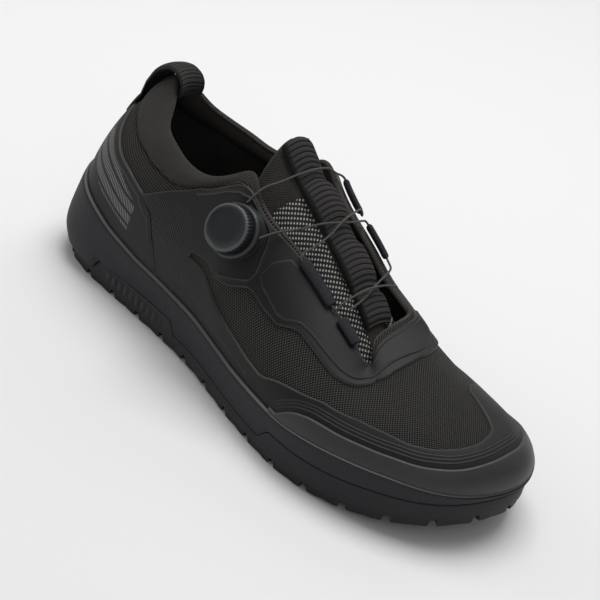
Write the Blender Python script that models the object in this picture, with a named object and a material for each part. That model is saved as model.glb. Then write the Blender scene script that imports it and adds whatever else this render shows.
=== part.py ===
"""Flat-pedal cycling shoe, right foot, closed by a thin lace and a ratchet dial.

The toe points along +X, the inner (medial) side is +Y and up is +Z. The shoe is worked out from the back of the
heel, and at the end everything is moved so that the origin is the bottom centre of the whole shoe.
"""

import math
from collections import namedtuple

import bmesh
import bpy
import numpy as np
from mathutils import Matrix, Vector

# Driving sizes of the last and the sole
LENGTH = 0.300
BALL_WIDTH = 0.110
HEEL_WIDTH = 0.081
HEEL_TAB_HEIGHT = 0.112
COLLAR_HEIGHT = 0.090
INSTEP_HEIGHT = 0.103
VAMP_HEIGHT = 0.066
TONGUE_HEIGHT = 0.121
TOE_SPRING = 0.013
ARCH_RISE = 0.0025
HEEL_BEVEL = 0.0023
HEEL_STACK = 0.024
BALL_STACK = 0.0155
TOE_STACK = 0.0120
HEEL_CUP_HEIGHT = 0.048
HEEL_FLARE = 0.0050
TOE_FLARE = 0.0006

# Walls, layers and clearances
GAP = 0.0003
OVERLAY_GAP = 0.0007
UPPER_WALL = 0.0028
RIM_WALL = 0.0026
WRAP_WALL = 0.0019
OUTSOLE_SLAB = 0.0030
LUG_DEPTH = 0.0034
LUG_DRAFT = 0.0006
LUG_SINK = 0.0006
EDGE_LUG_LENGTH = 0.0180
EDGE_LUG_WIDTH = 0.0115
LUG_GROOVE = 0.0032
LUG_RADIUS = 0.0086
EDGE_LUG_INSET = 0.0006
STRIP_HEIGHT = 0.0078
WRAP_HEIGHT = 0.0150
INSOLE_THICKNESS = 0.0040
RAND_WALL = 0.0014
FILM_WALL = 0.0010
TONGUE_PAD = 0.0042
TONGUE_DROP = 1.12
MEDIAL_REACH = 0.74
OVERLAY_CLEAR = 0.022

# Dial, lace and webbing
DIAL_RADIUS = 0.0124
DIAL_HEIGHT = 0.0066
KNURLS = 22
KNURL_DEPTH = 0.0005
BASE_RADIUS = 0.0136
BASE_HEIGHT = 0.0046
LACE_DIAMETER = 0.0011
LACE_STRAIGHT = 0.0022
WEBBING_WIDTH = 0.0170
WEBBING_WALL = 0.0018
LOOP_WIDTH = 0.0160
LOOP_WALL = 0.0016
GUIDE_OUTER = (0.0058, 0.0034)
GUIDE_BORE = (0.0034, 0.0020)
DIAL_STATION = 0.463
DIAL_SHARE = 0.745
DIAL_AXIS = (0.12, -0.87, 0.475)

# Counts of the faceted mesh
RING_HALF = 29
UPPER_ROWS = 11
SOLE_HALF = 29

LATERAL = -1
MEDIAL = 1

# The sole's outline: half widths at stations from the back of the heel to the toe, as shares of the local width
Outline = namedtuple("Outline", "station lateral medial")
OUTLINE = [
    Outline(0.00, 0.000, 0.000),
    Outline(0.03, 0.335, 0.325),
    Outline(0.08, 0.455, 0.445),
    Outline(0.15, 0.496, 0.488),
    Outline(0.25, 0.501, 0.481),
    Outline(0.35, 0.507, 0.444),
    Outline(0.45, 0.503, 0.405),
    Outline(0.55, 0.511, 0.402),
    Outline(0.65, 0.522, 0.432),
    Outline(0.72, 0.529, 0.468),
    Outline(0.80, 0.499, 0.486),
    Outline(0.88, 0.421, 0.459),
    Outline(0.94, 0.311, 0.382),
    Outline(0.98, 0.165, 0.255),
    Outline(1.00, -0.073, 0.073),
]

# Height of the midsole's side wall, as a share of the heel cup's height
SIDEWALL = [
    (0.00, 1.00), (0.05, 0.93), (0.10, 0.85), (0.17, 0.725), (0.25, 0.65), (0.40, 0.60),
    (0.55, 0.525), (0.70, 0.51), (0.80, 0.555), (0.90, 0.60), (1.00, 0.60),
]

# One row for each section of the upper. The foot is on the outline at a station, the rim is the opening's edge:
# rim_x is a share of the length, rim_y of the ball width and rim_z of the named height. The two handles of the
# section's curve are low_out (share of ball width), low_up, high_back, high_up (shares of the section) and high_out.
Section = namedtuple("Section", "station rim_x rim_y height rim_z low_out low_up high_back high_out high_up")
HEEL_SECTION = Section(0.00, 0.120, 0.000, HEEL_TAB_HEIGHT, 1.00, 0.022, 0.40, 0.81, 0.000, -0.29)
LATERAL_SECTIONS = [
    Section(0.01, 0.132, 0.060, HEEL_TAB_HEIGHT, 0.970, 0.024, 0.40, 0.80, 0.000, -0.29),
    Section(0.03, 0.154, 0.112, HEEL_TAB_HEIGHT, 0.920, 0.030, 0.40, 0.75, 0.005, -0.29),
    Section(0.08, 0.180, 0.186, COLLAR_HEIGHT, 1.070, 0.048, 0.38, 0.62, 0.015, -0.28),
    Section(0.15, 0.213, 0.236, COLLAR_HEIGHT, 1.044, 0.045, 0.36, 0.50, 0.040, -0.27),
    Section(0.22, 0.247, 0.259, COLLAR_HEIGHT, 1.020, 0.060, 0.34, 0.40, 0.060, -0.26),
    Section(0.29, 0.290, 0.273, COLLAR_HEIGHT, 1.000, 0.070, 0.34, 0.35, 0.075, -0.26),
    Section(0.35, 0.343, 0.273, COLLAR_HEIGHT, 1.033, 0.070, 0.36, 0.40, 0.080, -0.26),
    Section(0.40, 0.390, 0.250, COLLAR_HEIGHT, 1.130, 0.065, 0.38, 0.45, 0.080, -0.26),
    Section(0.43, 0.420, 0.238, INSTEP_HEIGHT, 1.030, 0.060, 0.38, 0.48, 0.080, -0.26),
    Section(0.45, 0.442, 0.254, INSTEP_HEIGHT, 1.000, 0.058, 0.38, 0.48, 0.080, -0.26),
    Section(0.47, 0.460, 0.258, INSTEP_HEIGHT, 0.950, 0.056, 0.38, 0.48, 0.080, -0.26),
    Section(0.50, 0.490, 0.244, INSTEP_HEIGHT, 0.888, 0.054, 0.40, 0.48, 0.080, -0.25),
    Section(0.56, 0.550, 0.205, INSTEP_HEIGHT, 0.810, 0.052, 0.44, 0.50, 0.070, -0.20),
    Section(0.62, 0.617, 0.186, INSTEP_HEIGHT, 0.700, 0.050, 0.50, 0.50, 0.060, -0.13),
    Section(0.68, 0.677, 0.182, INSTEP_HEIGHT, 0.612, 0.048, 0.52, 0.50, 0.050, -0.10),
    Section(0.75, 0.720, 0.180, VAMP_HEIGHT, 0.841, 0.046, 0.56, 0.52, 0.040, -0.07),
    Section(0.82, 0.729, 0.160, VAMP_HEIGHT, 0.795, 0.046, 0.62, 0.55, 0.035, -0.10),
    Section(0.90, 0.730, 0.136, VAMP_HEIGHT, 0.815, 0.050, 0.68, 0.60, 0.025, -0.16),
    Section(0.96, 0.711, 0.090, VAMP_HEIGHT, 0.870, 0.070, 0.68, 0.66, 0.010, -0.26),
]
TOE_SECTION = Section(1.00, 0.698, 0.024, VAMP_HEIGHT, 0.930, 0.090, 0.66, 0.70, 0.000, -0.32)
MEDIAL_SECTIONS = [
    Section(0.96, 0.695, 0.110, VAMP_HEIGHT, 0.955, 0.066, 0.48, 0.60, 0.006, -0.45),
    Section(0.90, 0.692, 0.175, VAMP_HEIGHT, 0.972, 0.042, 0.34, 0.48, 0.004, -0.50),
    Section(0.82, 0.678, 0.195, VAMP_HEIGHT, 1.000, 0.033, 0.29, 0.43, 0.004, -0.43),
    Section(0.75, 0.654, 0.188, INSTEP_HEIGHT, 0.672, 0.029, 0.29, 0.42, 0.006, -0.34),
    Section(0.68, 0.622, 0.174, INSTEP_HEIGHT, 0.722, 0.030, 0.34, 0.42, 0.010, -0.26),
    Section(0.62, 0.588, 0.170, INSTEP_HEIGHT, 0.790, 0.030, 0.34, 0.42, 0.015, -0.26),
    Section(0.56, 0.543, 0.175, INSTEP_HEIGHT, 0.855, 0.032, 0.34, 0.44, 0.030, -0.26),
    Section(0.50, 0.493, 0.190, INSTEP_HEIGHT, 0.918, 0.038, 0.34, 0.46, 0.050, -0.26),
    Section(0.47, 0.460, 0.212, INSTEP_HEIGHT, 0.962, 0.044, 0.36, 0.48, 0.065, -0.26),
    Section(0.45, 0.440, 0.225, INSTEP_HEIGHT, 0.996, 0.048, 0.38, 0.48, 0.075, -0.26),
    Section(0.43, 0.420, 0.232, INSTEP_HEIGHT, 1.010, 0.050, 0.38, 0.48, 0.080, -0.26),
    Section(0.40, 0.390, 0.245, COLLAR_HEIGHT, 1.105, 0.055, 0.38, 0.45, 0.080, -0.26),
    Section(0.35, 0.343, 0.259, COLLAR_HEIGHT, 1.033, 0.060, 0.36, 0.40, 0.075, -0.26),
    Section(0.29, 0.290, 0.259, COLLAR_HEIGHT, 0.995, 0.060, 0.34, 0.35, 0.070, -0.26),
    Section(0.22, 0.243, 0.250, COLLAR_HEIGHT, 1.000, 0.055, 0.34, 0.40, 0.060, -0.26),
    Section(0.15, 0.207, 0.227, COLLAR_HEIGHT, 1.017, 0.045, 0.36, 0.50, 0.040, -0.27),
    Section(0.08, 0.177, 0.177, COLLAR_HEIGHT, 1.055, 0.040, 0.38, 0.64, 0.015, -0.28),
    Section(0.03, 0.155, 0.109, HEEL_TAB_HEIGHT, 0.905, 0.030, 0.40, 0.75, 0.005, -0.29),
    Section(0.01, 0.132, 0.060, HEEL_TAB_HEIGHT, 0.965, 0.024, 0.40, 0.80, 0.000, -0.29),
]


RAND_ENDS = (math.acos(1 - 2 * 0.668), 2 * math.pi - math.acos(1 - 2 * 0.640))

# Lines drawn on the upper, as the share of the section at a station of one side
Mark = namedtuple("Mark", "side station share")
HEEL_TOP = [
    Mark(LATERAL, 0.000, 0.700), Mark(LATERAL, 0.036, 0.645), Mark(LATERAL, 0.140, 0.600),
    Mark(LATERAL, 0.225, 0.530), Mark(LATERAL, 0.255, 0.500), Mark(LATERAL, 0.280, 0.310), Mark(LATERAL, 0.300, 0.180),
]
EYESTAY_TOP = [
    Mark(LATERAL, 0.225, 0.590), Mark(LATERAL, 0.289, 0.775), Mark(LATERAL, 0.348, 0.880),
    Mark(LATERAL, 0.419, 0.890), Mark(LATERAL, 0.442, 0.940), Mark(LATERAL, 0.462, 0.975),
    Mark(LATERAL, 0.700, 0.975), Mark(LATERAL, 1.000, 0.975), Mark(MEDIAL, 0.500, 0.975), Mark(MEDIAL, 0.470, 0.960),
]
EYESTAY_LOW = [
    Mark(LATERAL, 0.225, 0.550), Mark(LATERAL, 0.258, 0.520), Mark(LATERAL, 0.289, 0.340),
    Mark(LATERAL, 0.315, 0.180), Mark(LATERAL, 0.385, 0.180), Mark(LATERAL, 0.405, 0.430),
    Mark(LATERAL, 0.456, 0.412), Mark(LATERAL, 0.526, 0.579), Mark(LATERAL, 0.610, 0.580),
    Mark(LATERAL, 0.646, 0.637), Mark(LATERAL, 0.755, 0.733), Mark(LATERAL, 0.799, 0.783),
    Mark(LATERAL, 0.947, 0.862), Mark(LATERAL, 1.000, 0.883), Mark(MEDIAL, 0.961, 0.858),
    Mark(MEDIAL, 0.900, 0.830), Mark(MEDIAL, 0.800, 0.760), Mark(MEDIAL, 0.700, 0.680),
    Mark(MEDIAL, 0.600, 0.620), Mark(MEDIAL, 0.520, 0.580), Mark(MEDIAL, 0.470, 0.560),
]
MESH_LOW = [
    Mark(LATERAL, 0.420, 0.350), Mark(LATERAL, 0.520, 0.275), Mark(LATERAL, 0.587, 0.275),
    Mark(LATERAL, 0.627, 0.250), Mark(LATERAL, 0.655, 0.321), Mark(LATERAL, 0.750, 0.504),
    Mark(LATERAL, 0.841, 0.533), Mark(LATERAL, 0.913, 0.475), Mark(LATERAL, 0.952, 0.433),
    Mark(LATERAL, 0.987, 0.438), Mark(MEDIAL, 1.000, 0.500), Mark(MEDIAL, 0.980, 0.640),
    Mark(MEDIAL, 0.880, 0.560), Mark(MEDIAL, 0.780, 0.480), Mark(MEDIAL, 0.660, 0.400), Mark(MEDIAL, 0.560, 0.360),
]
RAND_TOP = [
    Mark(LATERAL, 0.655, 0.050), Mark(LATERAL, 0.703, 0.242), Mark(LATERAL, 0.765, 0.346),
    Mark(LATERAL, 0.845, 0.350), Mark(LATERAL, 0.934, 0.300), Mark(LATERAL, 0.994, 0.317),
    Mark(MEDIAL, 0.990, 0.354), Mark(MEDIAL, 0.900, 0.330), Mark(MEDIAL, 0.800, 0.340),
    Mark(MEDIAL, 0.700, 0.260), Mark(MEDIAL, 0.630, 0.050),
]


def periodic_spline(angles, values):
    """A closed natural curve: cubic pieces whose slopes match at every row, found by solving for the slopes."""
    knots = np.asarray(angles, float)
    values = np.asarray(values, float)
    count = len(knots)
    steps = np.diff(np.append(knots, knots[0] + 2 * math.pi))
    rises = np.roll(values, -1, axis=0) - values
    rows = np.zeros((count, count))
    right = np.zeros_like(values)
    for i in range(count):
        before, after = steps[i - 1], steps[i]
        rows[i, i - 1] += 1 / before
        rows[i, i] += 2 / before + 2 / after
        rows[i, (i + 1) % count] += 1 / after
        right[i] = 3 * rises[i - 1] / before**2 + 3 * rises[i] / after**2
    slopes = np.linalg.solve(rows, right)

    def evaluate(angle):
        angle = np.mod(np.asarray(angle, float) - knots[0], 2 * math.pi) + knots[0]
        i = np.clip(np.searchsorted(knots, angle, side="right") - 1, 0, count - 1)
        j = (i + 1) % count
        h = steps[i]
        u = (angle - knots[i]) / h
        if values.ndim > 1:
            u, h = u[..., None], h[..., None]
        return (
            (2 * u**3 - 3 * u**2 + 1) * values[i]
            + (u**3 - 2 * u**2 + u) * h * slopes[i]
            + (3 * u**2 - 2 * u**3) * values[j]
            + (u**3 - u**2) * h * slopes[j]
        )

    return evaluate


def smooth(u):
    u = np.clip(u, 0, 1)
    return u * u * (3 - 2 * u)


def station_of(angle):
    """Share of the length: 0 at the back of the heel (angle 0), 1 at the toe (angle pi)."""
    return (1 - np.cos(angle)) / 2


def angle_of(station, side):
    """Angle round the shoe, lateral side first."""
    half = math.acos(1 - 2 * station)
    return half if side == LATERAL else 2 * math.pi - half


def local_width(station):
    return HEEL_WIDTH + (BALL_WIDTH - HEEL_WIDTH) * smooth((station - 0.30) / 0.40)


def outline_spline():
    lateral = [(angle_of(row.station, LATERAL), -row.lateral) for row in OUTLINE]
    medial = [(angle_of(row.station, MEDIAL), row.medial) for row in OUTLINE[-2:0:-1]]
    angles, shares = zip(*(lateral + medial))
    return periodic_spline(angles, shares)


OUTLINE_SHARE = outline_spline()


def outline_point(angle, inset=0.0):
    """Plan points (N, 2) of the sole's outline, moved inwards by inset."""

    def plain(a):
        station = station_of(a)
        return np.stack([LENGTH * station, OUTLINE_SHARE(a) * local_width(station)], axis=-1)

    angle = np.asarray(angle, float)
    return plain(angle) - outline_normal(angle) * np.asarray(inset)[..., None]


def outline_normal(angle):
    """Outward plan normals (N, 2) of the outline."""
    step = 1e-3
    station_a, station_b = station_of(angle - step), station_of(angle + step)
    along = np.stack(
        [
            LENGTH * (station_b - station_a),
            OUTLINE_SHARE(angle + step) * local_width(station_b)
            - OUTLINE_SHARE(angle - step) * local_width(station_a),
        ],
        axis=-1,
    )
    along /= np.linalg.norm(along, axis=-1, keepdims=True)
    return np.stack([along[..., 1], -along[..., 0]], axis=-1)


def ground(station, share_medial=0.0):
    """Height of the tread above the floor: flat at heel and ball, up at the toe, the arch and the heel's edge."""
    toe = TOE_SPRING * np.clip((station - 0.70) / 0.30, 0, 1) ** 2.2
    heel = HEEL_BEVEL * np.clip((0.08 - station) / 0.08, 0, 1) ** 2
    arch = ARCH_RISE * smooth(1 - np.abs(station - 0.44) / 0.14) * (0.4 + 0.6 * share_medial)
    return toe + heel + arch


def footbed(station):
    """Height of the midsole's top under the foot."""
    stack = np.interp(
        station,
        [0.0, 0.30, 0.45, 0.60, 0.75, 1.0],
        [HEEL_STACK, HEEL_STACK * 0.97, (HEEL_STACK + BALL_STACK) / 2, BALL_STACK * 1.05, BALL_STACK, TOE_STACK],
    )
    toe = TOE_SPRING * np.clip((station - 0.70) / 0.30, 0, 1) ** 2.2
    return stack + toe


def sidewall_top(station):
    stations, shares = zip(*SIDEWALL)
    return HEEL_CUP_HEIGHT * np.interp(station, stations, shares)


def section_splines():
    """Splines round the shoe of each section's rim and handles."""
    rows = [(0.0, 0, HEEL_SECTION)]
    rows += [(angle_of(r.station, LATERAL), LATERAL, r) for r in LATERAL_SECTIONS]
    rows += [(math.pi, MEDIAL, TOE_SECTION)]
    rows += [(angle_of(r.station, MEDIAL), MEDIAL, r) for r in MEDIAL_SECTIONS]
    angles = [angle for angle, side, r in rows]
    rim = [(r.rim_x * LENGTH, side * r.rim_y * BALL_WIDTH, r.rim_z * r.height) for angle, side, r in rows]
    handles = [(r.low_out, r.low_up, r.high_back, r.high_out, r.high_up) for angle, side, r in rows]
    return periodic_spline(angles, rim), periodic_spline(angles, handles)


RIM, HANDLES = section_splines()
FOOT_INSET = RIM_WALL + 2 * GAP


def upper_controls(angle):
    """The four control points of the section at each angle, from the foot to the rim."""
    station = station_of(angle)
    normal = outline_normal(angle)
    foot = np.concatenate(
        [outline_point(angle, FOOT_INSET), (footbed(station) + GAP)[..., None]], axis=-1
    )
    rim = RIM(angle)
    low_out, low_up, high_back, high_out, high_up = np.moveaxis(HANDLES(angle), -1, 0)
    rise = rim[..., 2] - foot[..., 2]
    low = foot.copy()
    low[..., :2] += normal * (low_out * BALL_WIDTH)[..., None]
    low[..., 2] += low_up * rise
    high = rim.copy()
    high[..., :2] += high_back[..., None] * (foot - rim)[..., :2] + normal * (high_out * BALL_WIDTH)[..., None]
    high[..., 2] += high_up * rise
    return foot, low, high, rim


def upper_point(angle, share):
    """Outer surface of the upper: the section's cubic curve, share 0 at the foot and 1 at the rim."""
    foot, low, high, rim = upper_controls(angle)
    t = np.asarray(share, float)[..., None]
    return foot * (1 - t) ** 3 + 3 * low * t * (1 - t) ** 2 + 3 * high * t * t * (1 - t) + rim * t**3


def upper_normal(angle, share):
    """Outward unit normals of the upper's outer surface."""
    step = 1e-3
    share = np.asarray(share, float)
    around = upper_point(angle + step, share) - upper_point(angle - step, share)
    low, high = np.clip(share - step, 0, 1), np.clip(share + step, 0, 1)
    up = upper_point(angle, high) - upper_point(angle, low)
    normal = np.cross(around, up)
    return normal / np.linalg.norm(normal, axis=-1, keepdims=True)


def upper_offset(angle, share, out):
    """A point of the upper's surface moved outwards."""
    return upper_point(angle, share) + upper_normal(angle, share) * np.asarray(out, float)[..., None]


def share_at_height(angle, height):
    """The share of each section at which the upper's outer surface reaches a height."""
    shares = np.linspace(0, 0.8, 161)
    found = []
    for a, h in zip(angle, height):
        z = upper_point(np.full_like(shares, a), shares)[:, 2]
        found.append(np.interp(h, z, shares))
    return np.array(found)


def ring_angles(half):
    """Angles round the shoe with lateral and medial columns at the same stations, closer at toe and heel."""
    u = np.arange(half) / half
    first = math.pi * u + 0.17 * np.sin(2 * math.pi * u)
    return np.concatenate([first, [math.pi], 2 * math.pi - first[:0:-1]])


def new_object(name, points, faces, material, smooth_angle=40):
    """One closed mesh object. Faces are recalculated to point out."""
    mesh = bpy.data.meshes.new(name)
    mesh.from_pydata([tuple(map(float, p)) for p in points], [], [tuple(map(int, f)) for f in faces])
    work = bmesh.new()
    work.from_mesh(mesh)
    bmesh.ops.recalc_face_normals(work, faces=work.faces)
    work.to_mesh(mesh)
    work.free()
    mesh.materials.append(material)
    mesh.shade_smooth()
    mesh.set_sharp_from_angle(angle=math.radians(smooth_angle))
    obj = bpy.data.objects.new(name, mesh)
    bpy.context.scene.collection.objects.link(obj)
    return obj


def material(name, colour, roughness, metallic=0.0):
    made = bpy.data.materials.new(name)
    made.use_nodes = True
    shader = made.node_tree.nodes["Principled BSDF"]
    shader.inputs["Base Color"].default_value = (*colour, 1.0)
    shader.inputs["Roughness"].default_value = roughness
    shader.inputs["Metallic"].default_value = metallic
    return made


def grid_faces(rows, columns, start=0, wrap=False, flip=False):
    """Quads of a rows x columns grid of points."""
    faces = []
    last = columns if wrap else columns - 1
    for r in range(rows - 1):
        for c in range(last):
            d = (c + 1) % columns
            quad = [
                start + r * columns + c,
                start + r * columns + d,
                start + (r + 1) * columns + d,
                start + (r + 1) * columns + c,
            ]
            faces.append(quad[::-1] if flip else quad)
    return faces


def shell(outer, inner, wrap):
    """Points and faces of the closed wall between two grids of the same size (rows, columns, 3)."""
    rows, columns = outer.shape[:2]
    count = rows * columns
    points = np.concatenate([outer.reshape(-1, 3), inner.reshape(-1, 3)])
    faces = grid_faces(rows, columns, 0, wrap) + grid_faces(rows, columns, count, wrap, flip=True)
    last = columns if wrap else columns - 1
    for c in range(last):
        d = (c + 1) % columns
        faces.append([d, c, count + c, count + d])
        low = (rows - 1) * columns
        faces.append([low + c, low + d, count + low + d, count + low + c])
    if not wrap:
        for r in range(rows - 1):
            for c, flip in ((0, False), (columns - 1, True)):
                quad = [r * columns + c, (r + 1) * columns + c, count + (r + 1) * columns + c, count + r * columns + c]
                faces.append(quad[::-1] if flip else quad)
    return points, faces


def rim_share(angles):
    """Share of each section at the top of the midsole's side wall."""
    return share_at_height(angles, sidewall_top(station_of(angles)))


def upper_rows(angles):
    """Angles and shares of the upper's mesh: two rows up to the midsole's rim, the others spread to the edge."""
    low = rim_share(angles)
    above = np.linspace(0, 1, UPPER_ROWS - 2)[:, None]
    shares = np.vstack([np.zeros_like(low), low / 2, low + (1 - low) * above])
    return np.broadcast_to(angles, shares.shape), shares


def make_upper(fabric):
    """The hollow knit upper: one wall from the foot to the collar and throat, open at both."""
    a, t = upper_rows(ring_angles(RING_HALF))
    outer = upper_point(a, t)
    inner = upper_offset(a, t, np.full(a.shape, -UPPER_WALL))
    inner[0, :, 2] = outer[0, :, 2]
    points, faces = shell(outer, inner, wrap=True)
    return new_object("upper", points, faces, fabric)


def side_line(rows, angles):
    """A line drawn on the upper: shares at the angles, from rows of side, station and share."""
    at = np.array([angle_of(row.station, row.side) for row in rows])
    order = np.argsort(at)
    shares = np.array([row.share for row in rows])
    return np.interp(angles, at[order], shares[order])


def panel_columns(first, last, extra=()):
    """The upper's own columns between two angles, with both ends and any extra ones, going round by the toe."""
    fixed = np.array([first, *extra, last])
    angles = ring_angles(RING_HALF)
    inside = angles[(angles > first) & (angles < last)]
    clear = np.abs(inside[:, None] - fixed[None, :]).min(axis=1) > 0.025
    return np.sort(np.concatenate([fixed, inside[clear]]))


def surface_panel(name, finish, columns, low, high, rows, wall):
    """A thin piece laid on the upper between two lines of shares, its wall thinned at the edges."""
    mix = np.linspace(0, 1, rows)[:, None]
    a = np.repeat(columns[None, :], rows, axis=0)
    t = low[None, :] * (1 - mix) + high[None, :] * mix
    edge = np.minimum(mix, 1 - mix) * np.ones_like(a)
    thickness = wall * (0.6 + 0.4 * np.clip(edge / 0.12, 0, 1))
    outer = upper_offset(a, t, OVERLAY_GAP + thickness)
    inner = upper_offset(a, t, np.full(a.shape, OVERLAY_GAP))
    points, faces = shell(outer, inner, wrap=False)
    return new_object(name, points, faces, finish)


def rim_line(angles):
    """Lower edge of the overlays, just above the midsole's rim."""
    return rim_share(angles) + OVERLAY_CLEAR


def rand_high(angles):
    """Top line of the toe rand, which thins to a narrow tail at both ends."""
    return np.maximum(side_line(RAND_TOP, angles), rim_line(angles) + 2 * OVERLAY_CLEAR)


def make_toe_rand(rubber):
    columns = panel_columns(*RAND_ENDS)
    return surface_panel("toe_rand", rubber, columns, rim_line(columns), rand_high(columns), 5, RAND_WALL)


def make_rand_film(film):
    """The film between the mesh and the rand, down to the midsole behind the rand's two tails."""
    tails = (RAND_ENDS[0] - 0.03, RAND_ENDS[1] + 0.03)
    columns = panel_columns(angle_of(0.420, LATERAL), angle_of(0.560, MEDIAL), (*RAND_ENDS, *tails))
    beside = (columns > tails[0] + 0.001) & (columns < tails[1] - 0.001)
    low = np.where(beside, rand_high(columns) + OVERLAY_CLEAR, rim_line(columns))
    high = np.maximum(side_line(MESH_LOW, columns), low + 2 * OVERLAY_CLEAR)
    return surface_panel("rand_film", film, columns, low, high, 5, FILM_WALL)


def make_eyestay(film):
    columns = panel_columns(angle_of(0.225, LATERAL), angle_of(0.470, MEDIAL))
    low = side_line(EYESTAY_LOW, columns)
    high = side_line(EYESTAY_TOP, columns)
    return surface_panel("eyestay", film, columns, low, high, 9, FILM_WALL)


def make_heel_panel(film):
    """The film round the heel, laid on both sides from its front end up to the pull loop."""
    angles = ring_angles(RING_HALF)
    front = angle_of(0.300, LATERAL)
    round_heel = np.concatenate([angles[angles > 2 * math.pi - front] - 2 * math.pi, angles[angles < front]])
    columns = np.concatenate([[-front], round_heel, [front]])
    columns = columns[np.append(True, np.diff(columns) > 0.02)]
    low = rim_line(np.mod(columns, 2 * math.pi))
    high = np.maximum(side_line(HEEL_TOP, np.abs(columns)), low + 2 * OVERLAY_CLEAR)
    return surface_panel("heel_panel", film, np.mod(columns, 2 * math.pi), low, high, 7, FILM_WALL)


def cap_faces(ring, half):
    """Quads across a ring whose lateral and medial points pair up by station."""
    faces = [[ring[0], ring[1], ring[-1]]]
    for i in range(1, half - 1):
        faces.append([ring[i], ring[i + 1], ring[-i - 1], ring[-i]])
    faces.append([ring[half - 1], ring[half], ring[half + 1]])
    return faces


def stacked_rings(name, rings, finish):
    """A solid from closed rings of points, joined in order, with the first and last ring capped across."""
    count = len(rings[0])
    half = count // 2
    points = np.concatenate(rings)
    faces = grid_faces(len(rings), count, 0, wrap=True)
    faces += cap_faces(list(range(count)), half)
    last = (len(rings) - 1) * count
    faces += cap_faces([last + i for i in range(count)], half)
    return new_object(name, points, faces, finish)


def ring_at(angles, inset, height):
    plan = outline_point(angles, inset)
    return np.concatenate([plan, np.broadcast_to(height, angles.shape)[:, None]], axis=-1)


def wrap_top(angles):
    """Height above the tread of the outsole's side: a strip, with raised walls at forefoot and heel."""
    station = station_of(angles)
    heel = smooth((station - 0.145) / 0.018) * smooth((0.385 - station) / 0.022)
    forefoot = smooth((station - 0.655) / 0.03)
    raised = np.maximum(heel * 0.86, forefoot * (1 - 0.45 * smooth((station - 0.86) / 0.14)))
    return STRIP_HEIGHT + (WRAP_HEIGHT - STRIP_HEIGHT) * raised


def medial_share(angles):
    return np.clip(OUTLINE_SHARE(angles) + 0.5, 0, 1)


def midsole_flare(station):
    """How far the side wall stands out past the tread: most at the back of the heel."""
    return HEEL_FLARE * smooth((0.30 - station) / 0.27) + TOE_FLARE * smooth((station - 0.55) / 0.30)


def midsole_rings(angles):
    """Rings of points of the midsole: under it, out over the outsole's wrap, up its side, and down inside."""
    station = station_of(angles)
    floor = ground(station, medial_share(angles))
    base = floor + LUG_DEPTH + OUTSOLE_SLAB + GAP
    wrap = floor + wrap_top(angles)
    top = sidewall_top(station)
    share = rim_share(angles)
    rim_outer = upper_offset(angles, share, np.full(angles.shape, GAP + RIM_WALL))
    rim_inner = upper_offset(angles, share, np.full(angles.shape, GAP))
    flare = midsole_flare(station)
    step = ring_at(angles, 0.0006 - 0.7 * flare, wrap + 2 * GAP)
    bulge = ring_at(angles, -flare, wrap + 0.30 * (top - wrap))
    shoulder = rim_outer.copy()
    shoulder[:, :2] += outline_normal(angles) * 0.0007 + 0.16 * (bulge - rim_outer)[:, :2]
    shoulder[:, 2] -= 0.12 * (top - wrap)
    recess = WRAP_WALL + GAP
    inside = upper_offset(angles, share / 2, np.full(angles.shape, GAP))
    seat = ring_at(angles, FOOT_INSET - GAP, footbed(station))
    return [
        ring_at(angles, recess + 0.0012, base),
        ring_at(angles, recess, base + 0.0008),
        ring_at(angles, recess, wrap + GAP),
        step,
        bulge,
        shoulder,
        rim_outer,
        rim_inner,
        inside,
        seat,
    ]


def make_midsole(foam):
    """The cup midsole: its side wall steps over the outsole's wrap and rises as a rim round the upper."""
    return stacked_rings("midsole", midsole_rings(ring_angles(RING_HALF)), foam)


def lug_prism(points, faces, corners):
    """Adds one tread block: corners run round its top, and its lower face is drawn in by the draft."""
    corners = np.asarray(corners, float)
    centre = corners.mean(axis=0)
    away = corners - centre
    lower = centre + away * (1 - LUG_DRAFT / np.linalg.norm(away, axis=1, keepdims=True))
    start = len(points)
    count = len(corners)
    for plan, height in ((corners, LUG_DEPTH + LUG_SINK), (lower, 0.0)):
        for x, y in plan:
            station = np.clip(x / LENGTH, 0, 1)
            share = np.clip(y / local_width(station) + 0.5, 0, 1)
            points.append((x, y, float(ground(station, share)) + height))
    faces.append([start + i for i in range(count)][::-1])
    faces.append([start + count + i for i in range(count)])
    for i in range(count):
        j = (i + 1) % count
        faces.append([start + i, start + j, start + count + j, start + count + i])


def outline_lengths(samples=720):
    """Angles and running length round the outline, for spacing the edge lugs."""
    angles = np.linspace(0, 2 * math.pi, samples + 1)
    plan = outline_point(angles)
    run = np.concatenate([[0], np.cumsum(np.linalg.norm(np.diff(plan, axis=0), axis=1))])
    return angles, run


def edge_lugs(points, faces):
    """Blocks round the edge of the tread, each with a straight inner side."""
    angles, run = outline_lengths()
    count = round(run[-1] / (EDGE_LUG_LENGTH + LUG_GROOVE))
    pitch = run[-1] / count
    for i in range(count):
        middle = (i + 0.5) * pitch
        ends = [middle - (pitch - LUG_GROOVE) / 2, middle, middle + (pitch - LUG_GROOVE) / 2]
        at = np.interp(ends, run, angles)
        outer = outline_point(at, EDGE_LUG_INSET)
        inner = outline_point(at, EDGE_LUG_INSET + EDGE_LUG_WIDTH)
        narrow = 0.12
        first = inner[0] * (1 - narrow) + inner[2] * narrow
        last = inner[2] * (1 - narrow) + inner[0] * narrow
        lug_prism(points, faces, [outer[0], outer[1], outer[2], last, first])


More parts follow.
